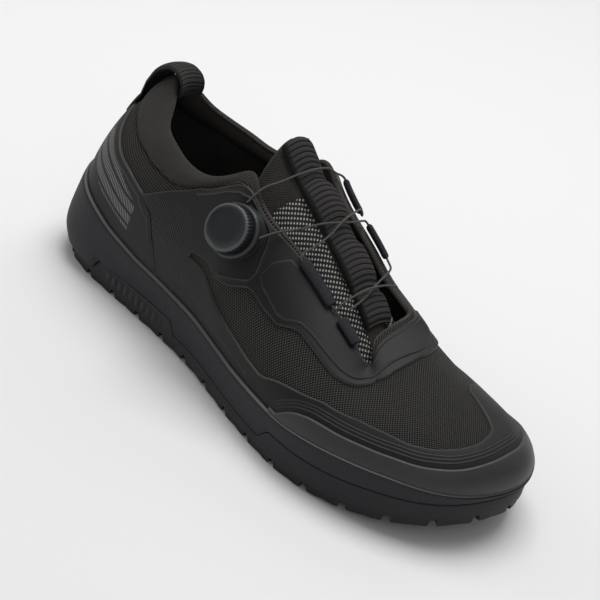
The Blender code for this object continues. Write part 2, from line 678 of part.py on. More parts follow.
def inner_lugs(points, faces):
    """Six-sided blocks in staggered rows inside the edge blocks."""
    radius = LUG_RADIUS
    pitch_x = radius * math.sqrt(3) + LUG_GROOVE
    pitch_y = 1.5 * radius + LUG_GROOVE * 0.87
    clear = EDGE_LUG_INSET + EDGE_LUG_WIDTH + LUG_GROOVE * 0.7 + radius
    row_count = int(BALL_WIDTH / pitch_y / 2) + 1
    column_count = int(LENGTH / pitch_x) + 1
    for row in range(-row_count, row_count + 1):
        for column in range(column_count):
            x = (column + 0.5 * (row % 2)) * pitch_x
            y = row * pitch_y
            station = x / LENGTH
            if not 0.06 < station < 0.95:
                continue
            lateral = outline_point(np.array([angle_of(station, LATERAL)]))[0, 1]
            medial = outline_point(np.array([angle_of(station, MEDIAL)]))[0, 1]
            near_end = 1.0 if 0.10 < station < 0.88 else 1.25
            if y - lateral < clear * near_end or medial - y < clear * near_end:
                continue
            turns = [math.radians(30 + 60 * k) for k in range(6)]
            lug_prism(points, faces, [(x + radius * math.cos(t), y + radius * math.sin(t)) for t in turns])


def boolean(target, other, operation):
    """Joins or cuts with the exact solver and keeps the result as the target's own mesh."""
    modifier = target.modifiers.new(operation.lower(), "BOOLEAN")
    modifier.operation = operation
    modifier.solver = "EXACT"
    modifier.use_self = True
    modifier.object = other
    graph = bpy.context.evaluated_depsgraph_get()
    mesh = bpy.data.meshes.new_from_object(target.evaluated_get(graph))
    target.modifiers.remove(modifier)
    old = target.data
    target.data = mesh
    mesh.name = target.name
    bpy.data.meshes.remove(old)
    bpy.data.objects.remove(other)
    return target


def make_outsole(rubber):
    """The outsole: a slab under the midsole with a raised wrap at its side, and tread blocks below."""
    angles = ring_angles(SOLE_HALF)
    station = station_of(angles)
    floor = ground(station, medial_share(angles))
    slab_low = floor + LUG_DEPTH
    slab_high = floor + LUG_DEPTH + OUTSOLE_SLAB
    wrap = floor + wrap_top(angles)
    rings = [
        ring_at(angles, 0.0012, slab_low),
        ring_at(angles, 0.0, slab_low + 0.0010),
        ring_at(angles, 0.0, wrap - 0.0006),
        ring_at(angles, 0.0006, wrap),
        ring_at(angles, WRAP_WALL, wrap - 0.0003),
        ring_at(angles, WRAP_WALL, slab_high + 0.0012),
        ring_at(angles, WRAP_WALL + 0.0012, slab_high),
    ]
    outsole = stacked_rings("outsole", rings, rubber)
    points, faces = [], []
    edge_lugs(points, faces)
    inner_lugs(points, faces)
    lugs = new_object("lugs", points, faces, rubber)
    return boolean(outsole, lugs, "UNION")


def make_insole(cloth):
    """The footbed that lies inside the upper."""
    angles = ring_angles(SOLE_HALF)
    station = station_of(angles)
    inset = FOOT_INSET + UPPER_WALL + 2 * GAP
    low = footbed(station) + GAP
    heel_side = 0.0035 * smooth((0.55 - station) / 0.5)
    rings = [
        ring_at(angles, inset + 0.0015, low),
        ring_at(angles, inset, low + 0.0012),
        ring_at(angles, inset, low + INSOLE_THICKNESS + heel_side),
        ring_at(angles, inset + 0.0020, low + INSOLE_THICKNESS + heel_side),
        ring_at(angles, inset + 0.0090, low + INSOLE_THICKNESS),
    ]
    return stacked_rings("insole", rings, cloth)


# The tongue, from its tip under the vamp to its padded top: centre x as a share of the length, centre z as a share
# of the tongue's height, half width as a share of the ball width, drop of the sides as a share of the tongue's height
TongueRow = namedtuple("TongueRow", "x z half drop pad")
TONGUE = [
    TongueRow(0.735, 0.405, 0.190, 0.075, 0.55),
    TongueRow(0.700, 0.468, 0.205, 0.095, 0.60),
    TongueRow(0.660, 0.565, 0.225, 0.100, 0.70),
    TongueRow(0.615, 0.652, 0.240, 0.135, 0.75),
    TongueRow(0.570, 0.735, 0.250, 0.165, 0.80),
    TongueRow(0.525, 0.808, 0.255, 0.185, 0.90),
    TongueRow(0.485, 0.868, 0.252, 0.190, 1.00),
    TongueRow(0.450, 0.920, 0.240, 0.180, 1.10),
    TongueRow(0.428, 0.960, 0.230, 0.165, 1.15),
    TongueRow(0.412, 1.000, 0.218, 0.150, 1.10),
]


def interpolate(rows, keys, position):
    """Catmull-Rom curve through table rows; position runs from 0 at the first row to 1 at the last."""
    values = np.array([[getattr(row, key) for key in keys] for row in rows])
    padded = np.vstack([2 * values[0] - values[1], values, 2 * values[-1] - values[-2]])
    place = np.clip(np.asarray(position, float), 0, 1) * (len(values) - 1)
    i = np.minimum(place.astype(int), len(values) - 2)
    u = (place - i)[..., None]
    a, b, c, d = (padded[i + k] for k in range(4))
    return 0.5 * (2 * b + (c - a) * u + (2 * a - 5 * b + 4 * c - d) * u**2 + (3 * b - a - 3 * c + d) * u**3)


def tongue_point(position, across):
    """Top surface of the tongue; across runs from -1 on the lateral side to 1 on the medial side."""
    x, z, half, drop, pad = np.moveaxis(interpolate(TONGUE, TongueRow._fields, position), -1, 0)
    side = np.abs(across)
    height = z - TONGUE_DROP * drop * side**1.7
    reach = np.where(across > 0, MEDIAL_REACH, 1.0) * half * BALL_WIDTH
    return np.stack([x * LENGTH + 0.004 * side**2, across * reach, height * TONGUE_HEIGHT], axis=-1)


def surface_normal(function, u, v, step=1e-3):
    around = function(u, v + step) - function(u, v - step)
    along = function(u + step, v) - function(u - step, v)
    normal = np.cross(along, around)
    normal *= np.sign(normal[..., 2:3] + 1e-12)
    return normal / np.linalg.norm(normal, axis=-1, keepdims=True)


def make_tongue(knit):
    position, across = np.meshgrid(np.linspace(0, 1, 13), np.linspace(-1, 1, 9), indexing="ij")
    top = tongue_point(position, across)
    pad = interpolate(TONGUE, ["pad"], position)[..., 0] * TONGUE_PAD
    pad = pad * (1 - 0.45 * np.abs(across) ** 3)
    normal = surface_normal(tongue_point, np.clip(position, 0.002, 0.998), across)
    under = top - normal * pad[..., None]
    points, faces = shell(top, under, wrap=False)
    return new_object("tongue", points, faces, knit)


# Lace keepers of ribbed webbing along the tongue: where each starts and ends, and how far it stands off
Keeper = namedtuple("Keeper", "start end rise")
KEEPERS = [
    Keeper(0.170, 0.265, 0.0016),
    Keeper(0.295, 0.445, 0.0022),
    Keeper(0.510, 0.695, 0.0024),
    Keeper(0.735, 0.985, 0.0014),
]


def keeper_rise(position):
    """How far the webbing stands off the tongue: a flat arch over each lace keeper."""
    rise = np.zeros_like(position)
    for keeper in KEEPERS:
        u = np.clip((position - keeper.start) / (keeper.end - keeper.start), 0, 1)
        rise += keeper.rise * (1 - (2 * u - 1) ** 4)
    return rise


def make_webbing(tape):
    """The ribbed tape on the tongue's centre line, arched at each lace keeper."""
    half = WEBBING_WIDTH / 2 / (0.25 * BALL_WIDTH)
    position, across = np.meshgrid(np.linspace(0.165, 0.995, 32), np.linspace(-half, half, 5), indexing="ij")
    base = tongue_point(position, across)
    base[..., 1] = np.linspace(-WEBBING_WIDTH / 2, WEBBING_WIDTH / 2, 5)
    normal = surface_normal(tongue_point, np.clip(position, 0.002, 0.998), across)
    rise = keeper_rise(position)[..., None]
    under = base + normal * (2 * GAP + rise)
    top = under + normal * WEBBING_WALL
    points, faces = shell(top, under, wrap=False)
    return new_object("tongue_webbing", points, faces, tape)


def drop_on_upper(points, axis, angle, share):
    """Angles and shares where lines through the points along the axis meet the upper near a given place."""
    axis = np.asarray(axis) / np.linalg.norm(axis)
    side = np.cross(axis, [0.2, 0.3, 0.9])
    side /= np.linalg.norm(side)
    other = np.cross(axis, side)
    a = np.full(len(points), float(angle))
    t = np.full(len(points), float(share))
    step = 1e-4
    for _ in range(14):
        miss = upper_point(a, t) - points
        by_angle = (upper_point(a + step, t) - upper_point(a - step, t)) / (2 * step)
        by_share = (upper_point(a, t + step) - upper_point(a, t - step)) / (2 * step)
        aa, at = by_angle @ side, by_share @ side
        ba, bt = by_angle @ other, by_share @ other
        u, v = miss @ side, miss @ other
        det = aa * bt - at * ba
        a -= np.clip((u * bt - v * at) / det, -0.1, 0.1)
        t -= np.clip((v * aa - u * ba) / det, -0.1, 0.1)
    return a, t


# The heel's pull loop, seen from the side, above where it is sewn to the heel: x and z as shares of the length and
# of the heel tab's height
LOOP_PATH = [
    (0.060, 0.890), (0.077, 0.968), (0.102, 1.020),
    (0.126, 1.026), (0.140, 1.000), (0.143, 0.962), (0.139, 0.925),
]
LOOP_SEWN = [0.690, 0.730, 0.770, 0.810]


def curve_through(points, count):
    """Evenly placed points of a Catmull-Rom curve through a list of points."""
    values = np.array(points, float)
    padded = np.vstack([2 * values[0] - values[1], values, 2 * values[-1] - values[-2]])
    place = np.linspace(0, len(values) - 1, count)
    i = np.minimum(place.astype(int), len(values) - 2)
    u = (place - i)[:, None]
    a, b, c, d = (padded[i + k] for k in range(4))
    return 0.5 * (2 * b + (c - a) * u + (2 * a - 5 * b + 4 * c - d) * u**2 + (3 * b - a - 3 * c + d) * u**3)


def make_pull_loop(tape):
    """The loop of tape: its outer end is sewn flat on the heel, its inner end turns down inside the collar."""
    across = np.linspace(-1, 1, 5)
    y = across * LOOP_WIDTH / 2
    inner, outer = [], []
    for share in LOOP_SEWN:
        points = np.stack([np.zeros(5), y, np.full(5, share * HEEL_TAB_HEIGHT)], axis=-1)
        a, t = drop_on_upper(points, [1.0, 0.0, 0.0], 0.0, 0.7)
        lift = OVERLAY_GAP + FILM_WALL + GAP
        inner.append(upper_offset(a, t, np.full(5, lift)))
        outer.append(upper_offset(a, t, np.full(5, lift + LOOP_WALL)))
    path = curve_through(LOOP_PATH, 17) * [LENGTH, HEEL_TAB_HEIGHT]
    along = np.gradient(path, axis=0)
    along /= np.linalg.norm(along, axis=1, keepdims=True)
    sewn_bow = inner[-1][:, 0] - inner[-1][2, 0]
    tab = np.stack([np.zeros(5), y, np.full(5, 0.86 * HEEL_TAB_HEIGHT)], axis=-1)
    tab_x = upper_point(*drop_on_upper(tab, [1.0, 0.0, 0.0], 0.0, 0.9))[:, 0]
    tab_bow = tab_x - tab_x[2]
    for (x, z), (dx, dz), mix in zip(path, along, np.linspace(0, 1, len(path))):
        bow = sewn_bow * (1 - mix) + tab_bow * mix
        inner.append(np.stack([x + bow, y, np.full(5, z)], axis=-1))
        outer.append(np.stack([x + bow - dz * LOOP_WALL, y, np.full(5, z + dx * LOOP_WALL)], axis=-1))
    points, faces = shell(np.array(outer), np.array(inner), wrap=False)
    return new_object("pull_loop", points, faces, tape)


def dial_frame():
    """Centre of the dial on the upper and its axis, with two directions across it."""
    angle = np.array([angle_of(DIAL_STATION, LATERAL)])
    share = np.array([DIAL_SHARE])
    centre = upper_point(angle, share)[0]
    axis = np.array(DIAL_AXIS) / np.linalg.norm(DIAL_AXIS)
    along = np.cross(axis, [0.0, 1.0, 0.0])
    along /= np.linalg.norm(along)
    return centre, axis, along, np.cross(axis, along)


def dial_ring(radius, height, count, turn=0.0):
    centre, axis, along, across = dial_frame()
    angles = np.linspace(0, 2 * math.pi, count, endpoint=False) + turn
    radius = np.broadcast_to(radius, angles.shape)[:, None]
    plan = radius * (np.cos(angles)[:, None] * along + np.sin(angles)[:, None] * across)
    return centre + plan + height * axis


def make_dial_base(plastic):
    """The dial's foot: its underside follows the upper, its top is flat."""
    count = 24
    centre, axis, along, across = dial_frame()
    rings = []
    for radius in np.array([0.03, 0.4, 0.75, 1.0]) * BASE_RADIUS:
        a, t = drop_on_upper(dial_ring(radius, 0.0, count), axis, angle_of(DIAL_STATION, LATERAL), DIAL_SHARE)
        rings.append(upper_offset(a, t, np.full(count, OVERLAY_GAP + FILM_WALL + 2 * GAP)))
    rings += [
        dial_ring(BASE_RADIUS, BASE_HEIGHT - 0.0012, count),
        dial_ring(BASE_RADIUS - 0.0010, BASE_HEIGHT, count),
    ]
    return fanned_rings("dial_base", rings, plastic)


def fanned_rings(name, rings, finish):
    """A solid from closed rings, with a fan of faces closing the first and the last."""
    count = len(rings[0])
    points = np.concatenate(rings + [[rings[0].mean(axis=0)], [rings[-1].mean(axis=0)]])
    faces = grid_faces(len(rings), count, 0, wrap=True)
    low, high = len(points) - 2, len(points) - 1
    start = (len(rings) - 1) * count
    for i in range(count):
        j = (i + 1) % count
        faces.append([low, j, i])
        faces.append([high, start + i, start + j])
    return new_object(name, points, faces, finish, smooth_angle=35)


def make_dial_knob(plastic):
    """The knurled knob: it turns on the base to wind the lace and pulls out to let it go."""
    count = 2 * KNURLS
    ridge = np.where(np.arange(count) % 2, DIAL_RADIUS - KNURL_DEPTH, DIAL_RADIUS)
    low = BASE_HEIGHT + GAP
    high = low + DIAL_HEIGHT
    rings = [
        dial_ring(DIAL_RADIUS - 0.0022, low, count),
        dial_ring(ridge, low + 0.0006, count),
        dial_ring(ridge, high - 0.0012, count),
        dial_ring(DIAL_RADIUS - 0.0009, high, count),
        dial_ring(DIAL_RADIUS - 0.0020, high, count),
        dial_ring(DIAL_RADIUS - 0.0026, high - 0.0005, count),
    ]
    return fanned_rings("dial_knob", rings, plastic)


def frames_along(path, up):
    """Unit side and up vectors at each point of a path, for sweeping a section along it."""
    along = np.gradient(path, axis=0)
    along /= np.linalg.norm(along, axis=1, keepdims=True)
    up = np.broadcast_to(up, path.shape)
    side = np.cross(along, up)
    side /= np.linalg.norm(side, axis=1, keepdims=True)
    return side, np.cross(side, along)


def sweep(path, up, width, height, sides):
    """Grid of points round a path: an ellipse of the given full width and height."""
    side, raised = frames_along(path, up)
    turns = np.linspace(0, 2 * math.pi, sides, endpoint=False)
    ring = np.cos(turns)[None, :, None] * side[:, None] * width / 2
    ring = ring + np.sin(turns)[None, :, None] * raised[:, None] * height / 2
    return path[:, None] + ring


def tube(name, path, up, outer, inner, sides, finish):
    """An open tube along a path: outer and inner are its full widths and heights."""
    skin = sweep(path, up, *outer, sides)
    bore = sweep(path, up, *inner, sides)
    points, faces = shell(skin, bore, wrap=True)
    return new_object(name, points, faces, finish)


# Lace guides of folded webbing at the throat's edge: side, first and last station, and share of the section
Guide = namedtuple("Guide", "name side first last share")
LATERAL_UPPER = Guide("guide_lateral_upper", LATERAL, 0.572, 0.640, 0.972)
LATERAL_LOWER = Guide("guide_lateral_lower", LATERAL, 0.664, 0.715, 0.972)
MEDIAL_UPPER = Guide("guide_medial_upper", MEDIAL, 0.472, 0.530, 1.000)
MEDIAL_LOWER = Guide("guide_medial_lower", MEDIAL, 0.565, 0.640, 1.000)
GUIDES = [LATERAL_UPPER, LATERAL_LOWER, MEDIAL_UPPER, MEDIAL_LOWER]


def guide_path(guide, count=4):
    """Centre line of a lace guide, standing on the eyestay's edge."""
    ends = [angle_of(guide.first, guide.side), angle_of(guide.last, guide.side)]
    angles = np.linspace(*ends, count)
    shares = np.full(count, guide.share)
    lift = OVERLAY_GAP + FILM_WALL + GAP + GUIDE_OUTER[1] / 2
    return upper_offset(angles, shares, np.full(count, lift)), upper_normal(angles, shares)


def make_guides(tape):
    for guide in GUIDES:
        path, up = guide_path(guide)
        tube(guide.name, path, up, GUIDE_OUTER, GUIDE_BORE, 6, tape)


# The lace's two runs from the dial across the tongue, in metres from the back of the heel. Each passes through two
# guides, so each run is given in three stretches.
UPPER_RUN = [
    [(0.1344, -0.0344, 0.0963), (0.1362, -0.0275, 0.1040), (0.1388, -0.0180, 0.1078), (0.1406, -0.0090, 0.1112),
     (0.1414, 0.0000, 0.1125), (0.1408, 0.0100, 0.1110), (0.1385, 0.0190, 0.1055)],
    [(0.1600, 0.0190, 0.0968), (0.1640, 0.0090, 0.0986), (0.1672, 0.0000, 0.0987), (0.1692, -0.0100, 0.0930),
     (0.1690, -0.0190, 0.0880)],
    [(0.1960, -0.0190, 0.0735), (0.1960, -0.0080, 0.0768), (0.1968, 0.0010, 0.0782), (0.1975, 0.0090, 0.0775),
     (0.1978, 0.0150, 0.0756)],
]
LOWER_RUN = [
    [(0.1505, -0.0374, 0.0866), (0.1545, -0.0300, 0.0907), (0.1590, -0.0200, 0.0930), (0.1636, -0.0105, 0.0966),
     (0.1664, 0.0000, 0.0968), (0.1664, 0.0090, 0.0953), (0.1642, 0.0168, 0.0930)],
    [(0.1895, 0.0170, 0.0800), (0.1925, 0.0090, 0.0785), (0.1950, 0.0010, 0.0765), (0.1975, -0.0070, 0.0735),
     (0.1985, -0.0160, 0.0705)],
]


def lace_path(run, guides):
    """The run's points with each guide's centre line between its stretches, and a step straight out of each end."""
    points = list(run[0])
    for stretch, guide in zip(run[1:], guides):
        centre = guide_path(guide)[0]
        along = (centre[-1] - centre[0]) / np.linalg.norm(centre[-1] - centre[0])
        points += [tuple(centre[0] - LACE_STRAIGHT * along), *map(tuple, centre[1:-1])]
        points += [tuple(centre[-1] + LACE_STRAIGHT * along), *stretch]
    return points


def make_lace(name, run, guides, cord):
    route = lace_path(run, guides)
    path = curve_through(route, 2 * len(route) + 5)
    rings = list(sweep(path, [0.35, 0.15, 0.92], LACE_DIAMETER, LACE_DIAMETER, 6))
    return fanned_rings(name, rings, cord)


def centre_on_floor():
    """Moves every mesh so that the origin is the bottom centre of the whole shoe."""
    objects = [obj for obj in bpy.data.objects if obj.type == "MESH"]
    corners = np.array([vertex.co for obj in objects for vertex in obj.data.vertices])
    low, high = corners.min(axis=0), corners.max(axis=0)
    shift = Vector((-(low[0] + high[0]) / 2, -(low[1] + high[1]) / 2, -low[2]))
    for obj in objects:
        obj.data.transform(Matrix.Translation(shift))


def main():
    for obj in list(bpy.data.objects):
        bpy.data.objects.remove(obj)
    knit = material("knit_mesh", (0.020, 0.020, 0.021), 0.80)
    foam = material("midsole_foam", (0.045, 0.043, 0.052), 0.62)
    rubber = material("outsole_rubber", (0.030, 0.029, 0.033), 0.60)
    tape = material("ribbed_tape", (0.035, 0.034, 0.038), 0.75)
    lining = material("lining_cloth", (0.015, 0.015, 0.016), 0.90)
    film = material("moulded_film", (0.033, 0.032, 0.034), 0.45)
    rand = material("rand_rubber", (0.036, 0.034, 0.038), 0.50)
    cord = material("lace_cord", (0.060, 0.060, 0.064), 0.55)
    plastic = material("dial_plastic", (0.018, 0.018, 0.019), 0.40)
    make_upper(knit)
    make_midsole(foam)
    make_outsole(rubber)
    make_insole(lining)
    make_heel_panel(film)
    make_eyestay(film)
    make_rand_film(film)
    make_toe_rand(rand)
    make_tongue(knit)
    make_webbing(tape)
    make_pull_loop(tape)
    make_dial_base(plastic)
    make_dial_knob(plastic)
    make_guides(tape)
    make_lace("lace_upper_run", UPPER_RUN, [MEDIAL_UPPER, LATERAL_UPPER], cord)
    make_lace("lace_lower_run", LOWER_RUN, [MEDIAL_LOWER], cord)
    centre_on_floor()


main()
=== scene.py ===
"""Looks of a flat-pedal cycling shoe for the right foot: knit, woven vamp, moulded films, foam and rubber.

Places are in metres from the back of the heel (x), the shoe's centre line (y) and the floor (z). The toe
points along +X and the inner (medial) side is +Y. SHIFT takes a point from there to the frame's origin.
"""

import math
from collections import namedtuple

import bpy
import numpy as np
from bpy.props import FloatProperty, FloatVectorProperty, IntProperty, PointerProperty
from mathutils import Matrix, Vector


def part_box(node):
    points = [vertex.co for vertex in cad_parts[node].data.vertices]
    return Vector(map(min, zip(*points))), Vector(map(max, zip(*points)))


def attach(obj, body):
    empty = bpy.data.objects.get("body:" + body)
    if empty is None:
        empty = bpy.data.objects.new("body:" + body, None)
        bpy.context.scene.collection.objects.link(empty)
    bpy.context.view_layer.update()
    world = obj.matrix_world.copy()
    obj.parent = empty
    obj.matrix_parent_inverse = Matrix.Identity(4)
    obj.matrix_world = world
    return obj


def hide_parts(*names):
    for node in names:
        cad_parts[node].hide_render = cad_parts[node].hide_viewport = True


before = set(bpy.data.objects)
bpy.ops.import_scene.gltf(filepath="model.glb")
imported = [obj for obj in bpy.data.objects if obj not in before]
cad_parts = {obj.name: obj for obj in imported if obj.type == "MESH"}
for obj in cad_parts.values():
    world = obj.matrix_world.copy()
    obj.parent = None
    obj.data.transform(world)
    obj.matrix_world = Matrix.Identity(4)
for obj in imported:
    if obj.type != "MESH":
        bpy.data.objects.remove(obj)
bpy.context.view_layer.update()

bl_info = {
    "name": "Cycling shoe",
    "version": (1, 0, 0),
    "blender": (4, 5, 0),
    "location": "3D View > Sidebar > Shoe",
    "description": "Builds the visible pieces of a flat-pedal cycling shoe round its packed solids",
    "category": "Object",
}

# Driving sizes, the same as the solids'
LENGTH = 0.300
BALL_WIDTH = 0.110
HEEL_WIDTH = 0.081
HEEL_TAB_HEIGHT = 0.112
COLLAR_HEIGHT = 0.090
INSTEP_HEIGHT = 0.103
VAMP_HEIGHT = 0.066
TONGUE_HEIGHT = 0.121
TOE_SPRING = 0.013
ARCH_RISE = 0.0025
HEEL_BEVEL = 0.0023
HEEL_STACK = 0.024
BALL_STACK = 0.0155
TOE_STACK = 0.0120
HEEL_CUP_HEIGHT = 0.048
HEEL_FLARE = 0.0050
TOE_FLARE = 0.0006
GAP = 0.0003
OVERLAY_GAP = 0.0007
UPPER_WALL = 0.0028
RIM_WALL = 0.0026
WRAP_WALL = 0.0019
OUTSOLE_SLAB = 0.0030
LUG_DEPTH = 0.0034
LUG_DRAFT = 0.0006
LUG_SINK = 0.0006
EDGE_LUG_LENGTH = 0.0180
EDGE_LUG_WIDTH = 0.0115
LUG_GROOVE = 0.0032
LUG_RADIUS = 0.0086
EDGE_LUG_INSET = 0.0006
STRIP_HEIGHT = 0.0078
WRAP_HEIGHT = 0.0150
INSOLE_THICKNESS = 0.0040
FILM_WALL = 0.0010
TONGUE_PAD = 0.0042
TONGUE_DROP = 1.12
MEDIAL_REACH = 0.74
OVERLAY_CLEAR = 0.022
DIAL_RADIUS = 0.0124
DIAL_HEIGHT = 0.0066
BASE_RADIUS = 0.0136
BASE_HEIGHT = 0.0046
LACE_DIAMETER = 0.0011
LACE_STRAIGHT = 0.0022
WEBBING_WIDTH = 0.0170
WEBBING_WALL = 0.0018
LOOP_WIDTH = 0.0160
LOOP_WALL = 0.0016
GUIDE_OUTER = (0.0058, 0.0034)
GUIDE_BORE = (0.0034, 0.0020)
DIAL_STATION = 0.463
DIAL_SHARE = 0.745
DIAL_AXIS = (0.12, -0.87, 0.475)
SOLE_HALF = 29
LATERAL = -1
MEDIAL = 1

# Relief and fine shapes that the solids leave out
PANEL_SINK = 0.0004
FAR_AWAY = 0.02
SEAM_DENT = 0.0010
SEAM_HALF = 0.010
LINING_SWELL = 1.6
PLATEAU_RISE = 0.0008
PLATEAU_STEP = 0.0009
PLATEAU_LEAD = 0.0004
BEAD_RISE = 0.0005
BEAD_HALF = 0.0008
SIDE_RIB_DEPTH = 0.0009
SIDE_RIB_PITCH = 0.0050
SIDE_PANEL_RISE = 0.0005
TONGUE_GROOVE = 0.0006
PANEL_LINE = 0.36
OPEN_MESH_END = 0.665
OPEN_MESH_SLANT = 0.15
LOOP_PITCH = 0.0019
LOOP_RIBS = 0.0004
KNURL_DEPTH = 0.0006
KNURL_SLANT = 900
FLOOR_REACH = 6.0
SURROUNDINGS = 0.26

# The fine lines that a film's finish draws, the border's as a painted highlight and the others as small ridges with
# a painted highlight on them: widths, and each stripe's distance and strength
BORDER_WIDTH = 0.0011
RIDGE_WIDTH = 0.0007
STRIPE_WIDTH = 0.0005
STRIPES = [(0.0, 0.8), (0.0016, 0.45), (0.0031, 0.45)]

# The photograph's camera: where it looks from, and how large the shoe is in a picture 600 pixels wide
PICTURE = 600
AZIMUTH = 40.266
ELEVATION = 29.843
ROLL = 15.206
DISTANCE = 0.91013
SCALE = 2008.5
TARGET = (0.150, 0.0, 0.050)
TARGET_PIXEL = (297.662, 286.696)
SENSOR = 36.0

# The sole's outline: half widths at stations from heel to toe, as shares of the local width
Outline = namedtuple("Outline", "station lateral medial")
OUTLINE = [
    Outline(0.00, 0.000, 0.000), Outline(0.03, 0.335, 0.325), Outline(0.08, 0.455, 0.445),
    Outline(0.15, 0.496, 0.488), Outline(0.25, 0.501, 0.481), Outline(0.35, 0.507, 0.444),
    Outline(0.45, 0.503, 0.405), Outline(0.55, 0.511, 0.402), Outline(0.65, 0.522, 0.432),
    Outline(0.72, 0.529, 0.468), Outline(0.80, 0.499, 0.486), Outline(0.88, 0.421, 0.459),
    Outline(0.94, 0.311, 0.382), Outline(0.98, 0.165, 0.255), Outline(1.00, -0.073, 0.073),
]

# Height of the midsole's side wall, as a share of the heel cup's height
SIDEWALL = [
    (0.00, 1.00), (0.05, 0.93), (0.10, 0.85), (0.17, 0.725), (0.25, 0.65), (0.40, 0.60),
    (0.55, 0.525), (0.70, 0.51), (0.80, 0.555), (0.90, 0.60), (1.00, 0.60),
]

# One row for each section of the upper: the rim's place, and the two handles of the section's curve
Section = namedtuple("Section", "station rim_x rim_y height rim_z low_out low_up high_back high_out high_up")
HEEL_SECTION = Section(0.00, 0.120, 0.000, HEEL_TAB_HEIGHT, 1.00, 0.022, 0.40, 0.81, 0.000, -0.29)
LATERAL_SECTIONS = [
    Section(0.01, 0.132, 0.060, HEEL_TAB_HEIGHT, 0.970, 0.024, 0.40, 0.80, 0.000, -0.29),
    Section(0.03, 0.154, 0.112, HEEL_TAB_HEIGHT, 0.920, 0.030, 0.40, 0.75, 0.005, -0.29),
    Section(0.08, 0.180, 0.186, COLLAR_HEIGHT, 1.070, 0.048, 0.38, 0.62, 0.015, -0.28),
    Section(0.15, 0.213, 0.236, COLLAR_HEIGHT, 1.044, 0.045, 0.36, 0.50, 0.040, -0.27),
    Section(0.22, 0.247, 0.259, COLLAR_HEIGHT, 1.020, 0.060, 0.34, 0.40, 0.060, -0.26),
    Section(0.29, 0.290, 0.273, COLLAR_HEIGHT, 1.000, 0.070, 0.34, 0.35, 0.075, -0.26),
    Section(0.35, 0.343, 0.273, COLLAR_HEIGHT, 1.033, 0.070, 0.36, 0.40, 0.080, -0.26),
    Section(0.40, 0.390, 0.250, COLLAR_HEIGHT, 1.130, 0.065, 0.38, 0.45, 0.080, -0.26),
    Section(0.43, 0.420, 0.238, INSTEP_HEIGHT, 1.030, 0.060, 0.38, 0.48, 0.080, -0.26),
    Section(0.45, 0.442, 0.254, INSTEP_HEIGHT, 1.000, 0.058, 0.38, 0.48, 0.080, -0.26),
    Section(0.47, 0.460, 0.258, INSTEP_HEIGHT, 0.950, 0.056, 0.38, 0.48, 0.080, -0.26),
    Section(0.50, 0.490, 0.244, INSTEP_HEIGHT, 0.888, 0.054, 0.40, 0.48, 0.080, -0.25),
    Section(0.56, 0.550, 0.205, INSTEP_HEIGHT, 0.810, 0.052, 0.44, 0.50, 0.070, -0.20),
    Section(0.62, 0.617, 0.186, INSTEP_HEIGHT, 0.700, 0.050, 0.50, 0.50, 0.060, -0.13),
    Section(0.68, 0.677, 0.182, INSTEP_HEIGHT, 0.612, 0.048, 0.52, 0.50, 0.050, -0.10),
    Section(0.75, 0.720, 0.180, VAMP_HEIGHT, 0.841, 0.046, 0.56, 0.52, 0.040, -0.07),
    Section(0.82, 0.729, 0.160, VAMP_HEIGHT, 0.795, 0.046, 0.62, 0.55, 0.035, -0.10),
    Section(0.90, 0.730, 0.136, VAMP_HEIGHT, 0.815, 0.050, 0.68, 0.60, 0.025, -0.16),
    Section(0.96, 0.711, 0.090, VAMP_HEIGHT, 0.870, 0.070, 0.68, 0.66, 0.010, -0.26),
]
TOE_SECTION = Section(1.00, 0.698, 0.024, VAMP_HEIGHT, 0.930, 0.090, 0.66, 0.70, 0.000, -0.32)
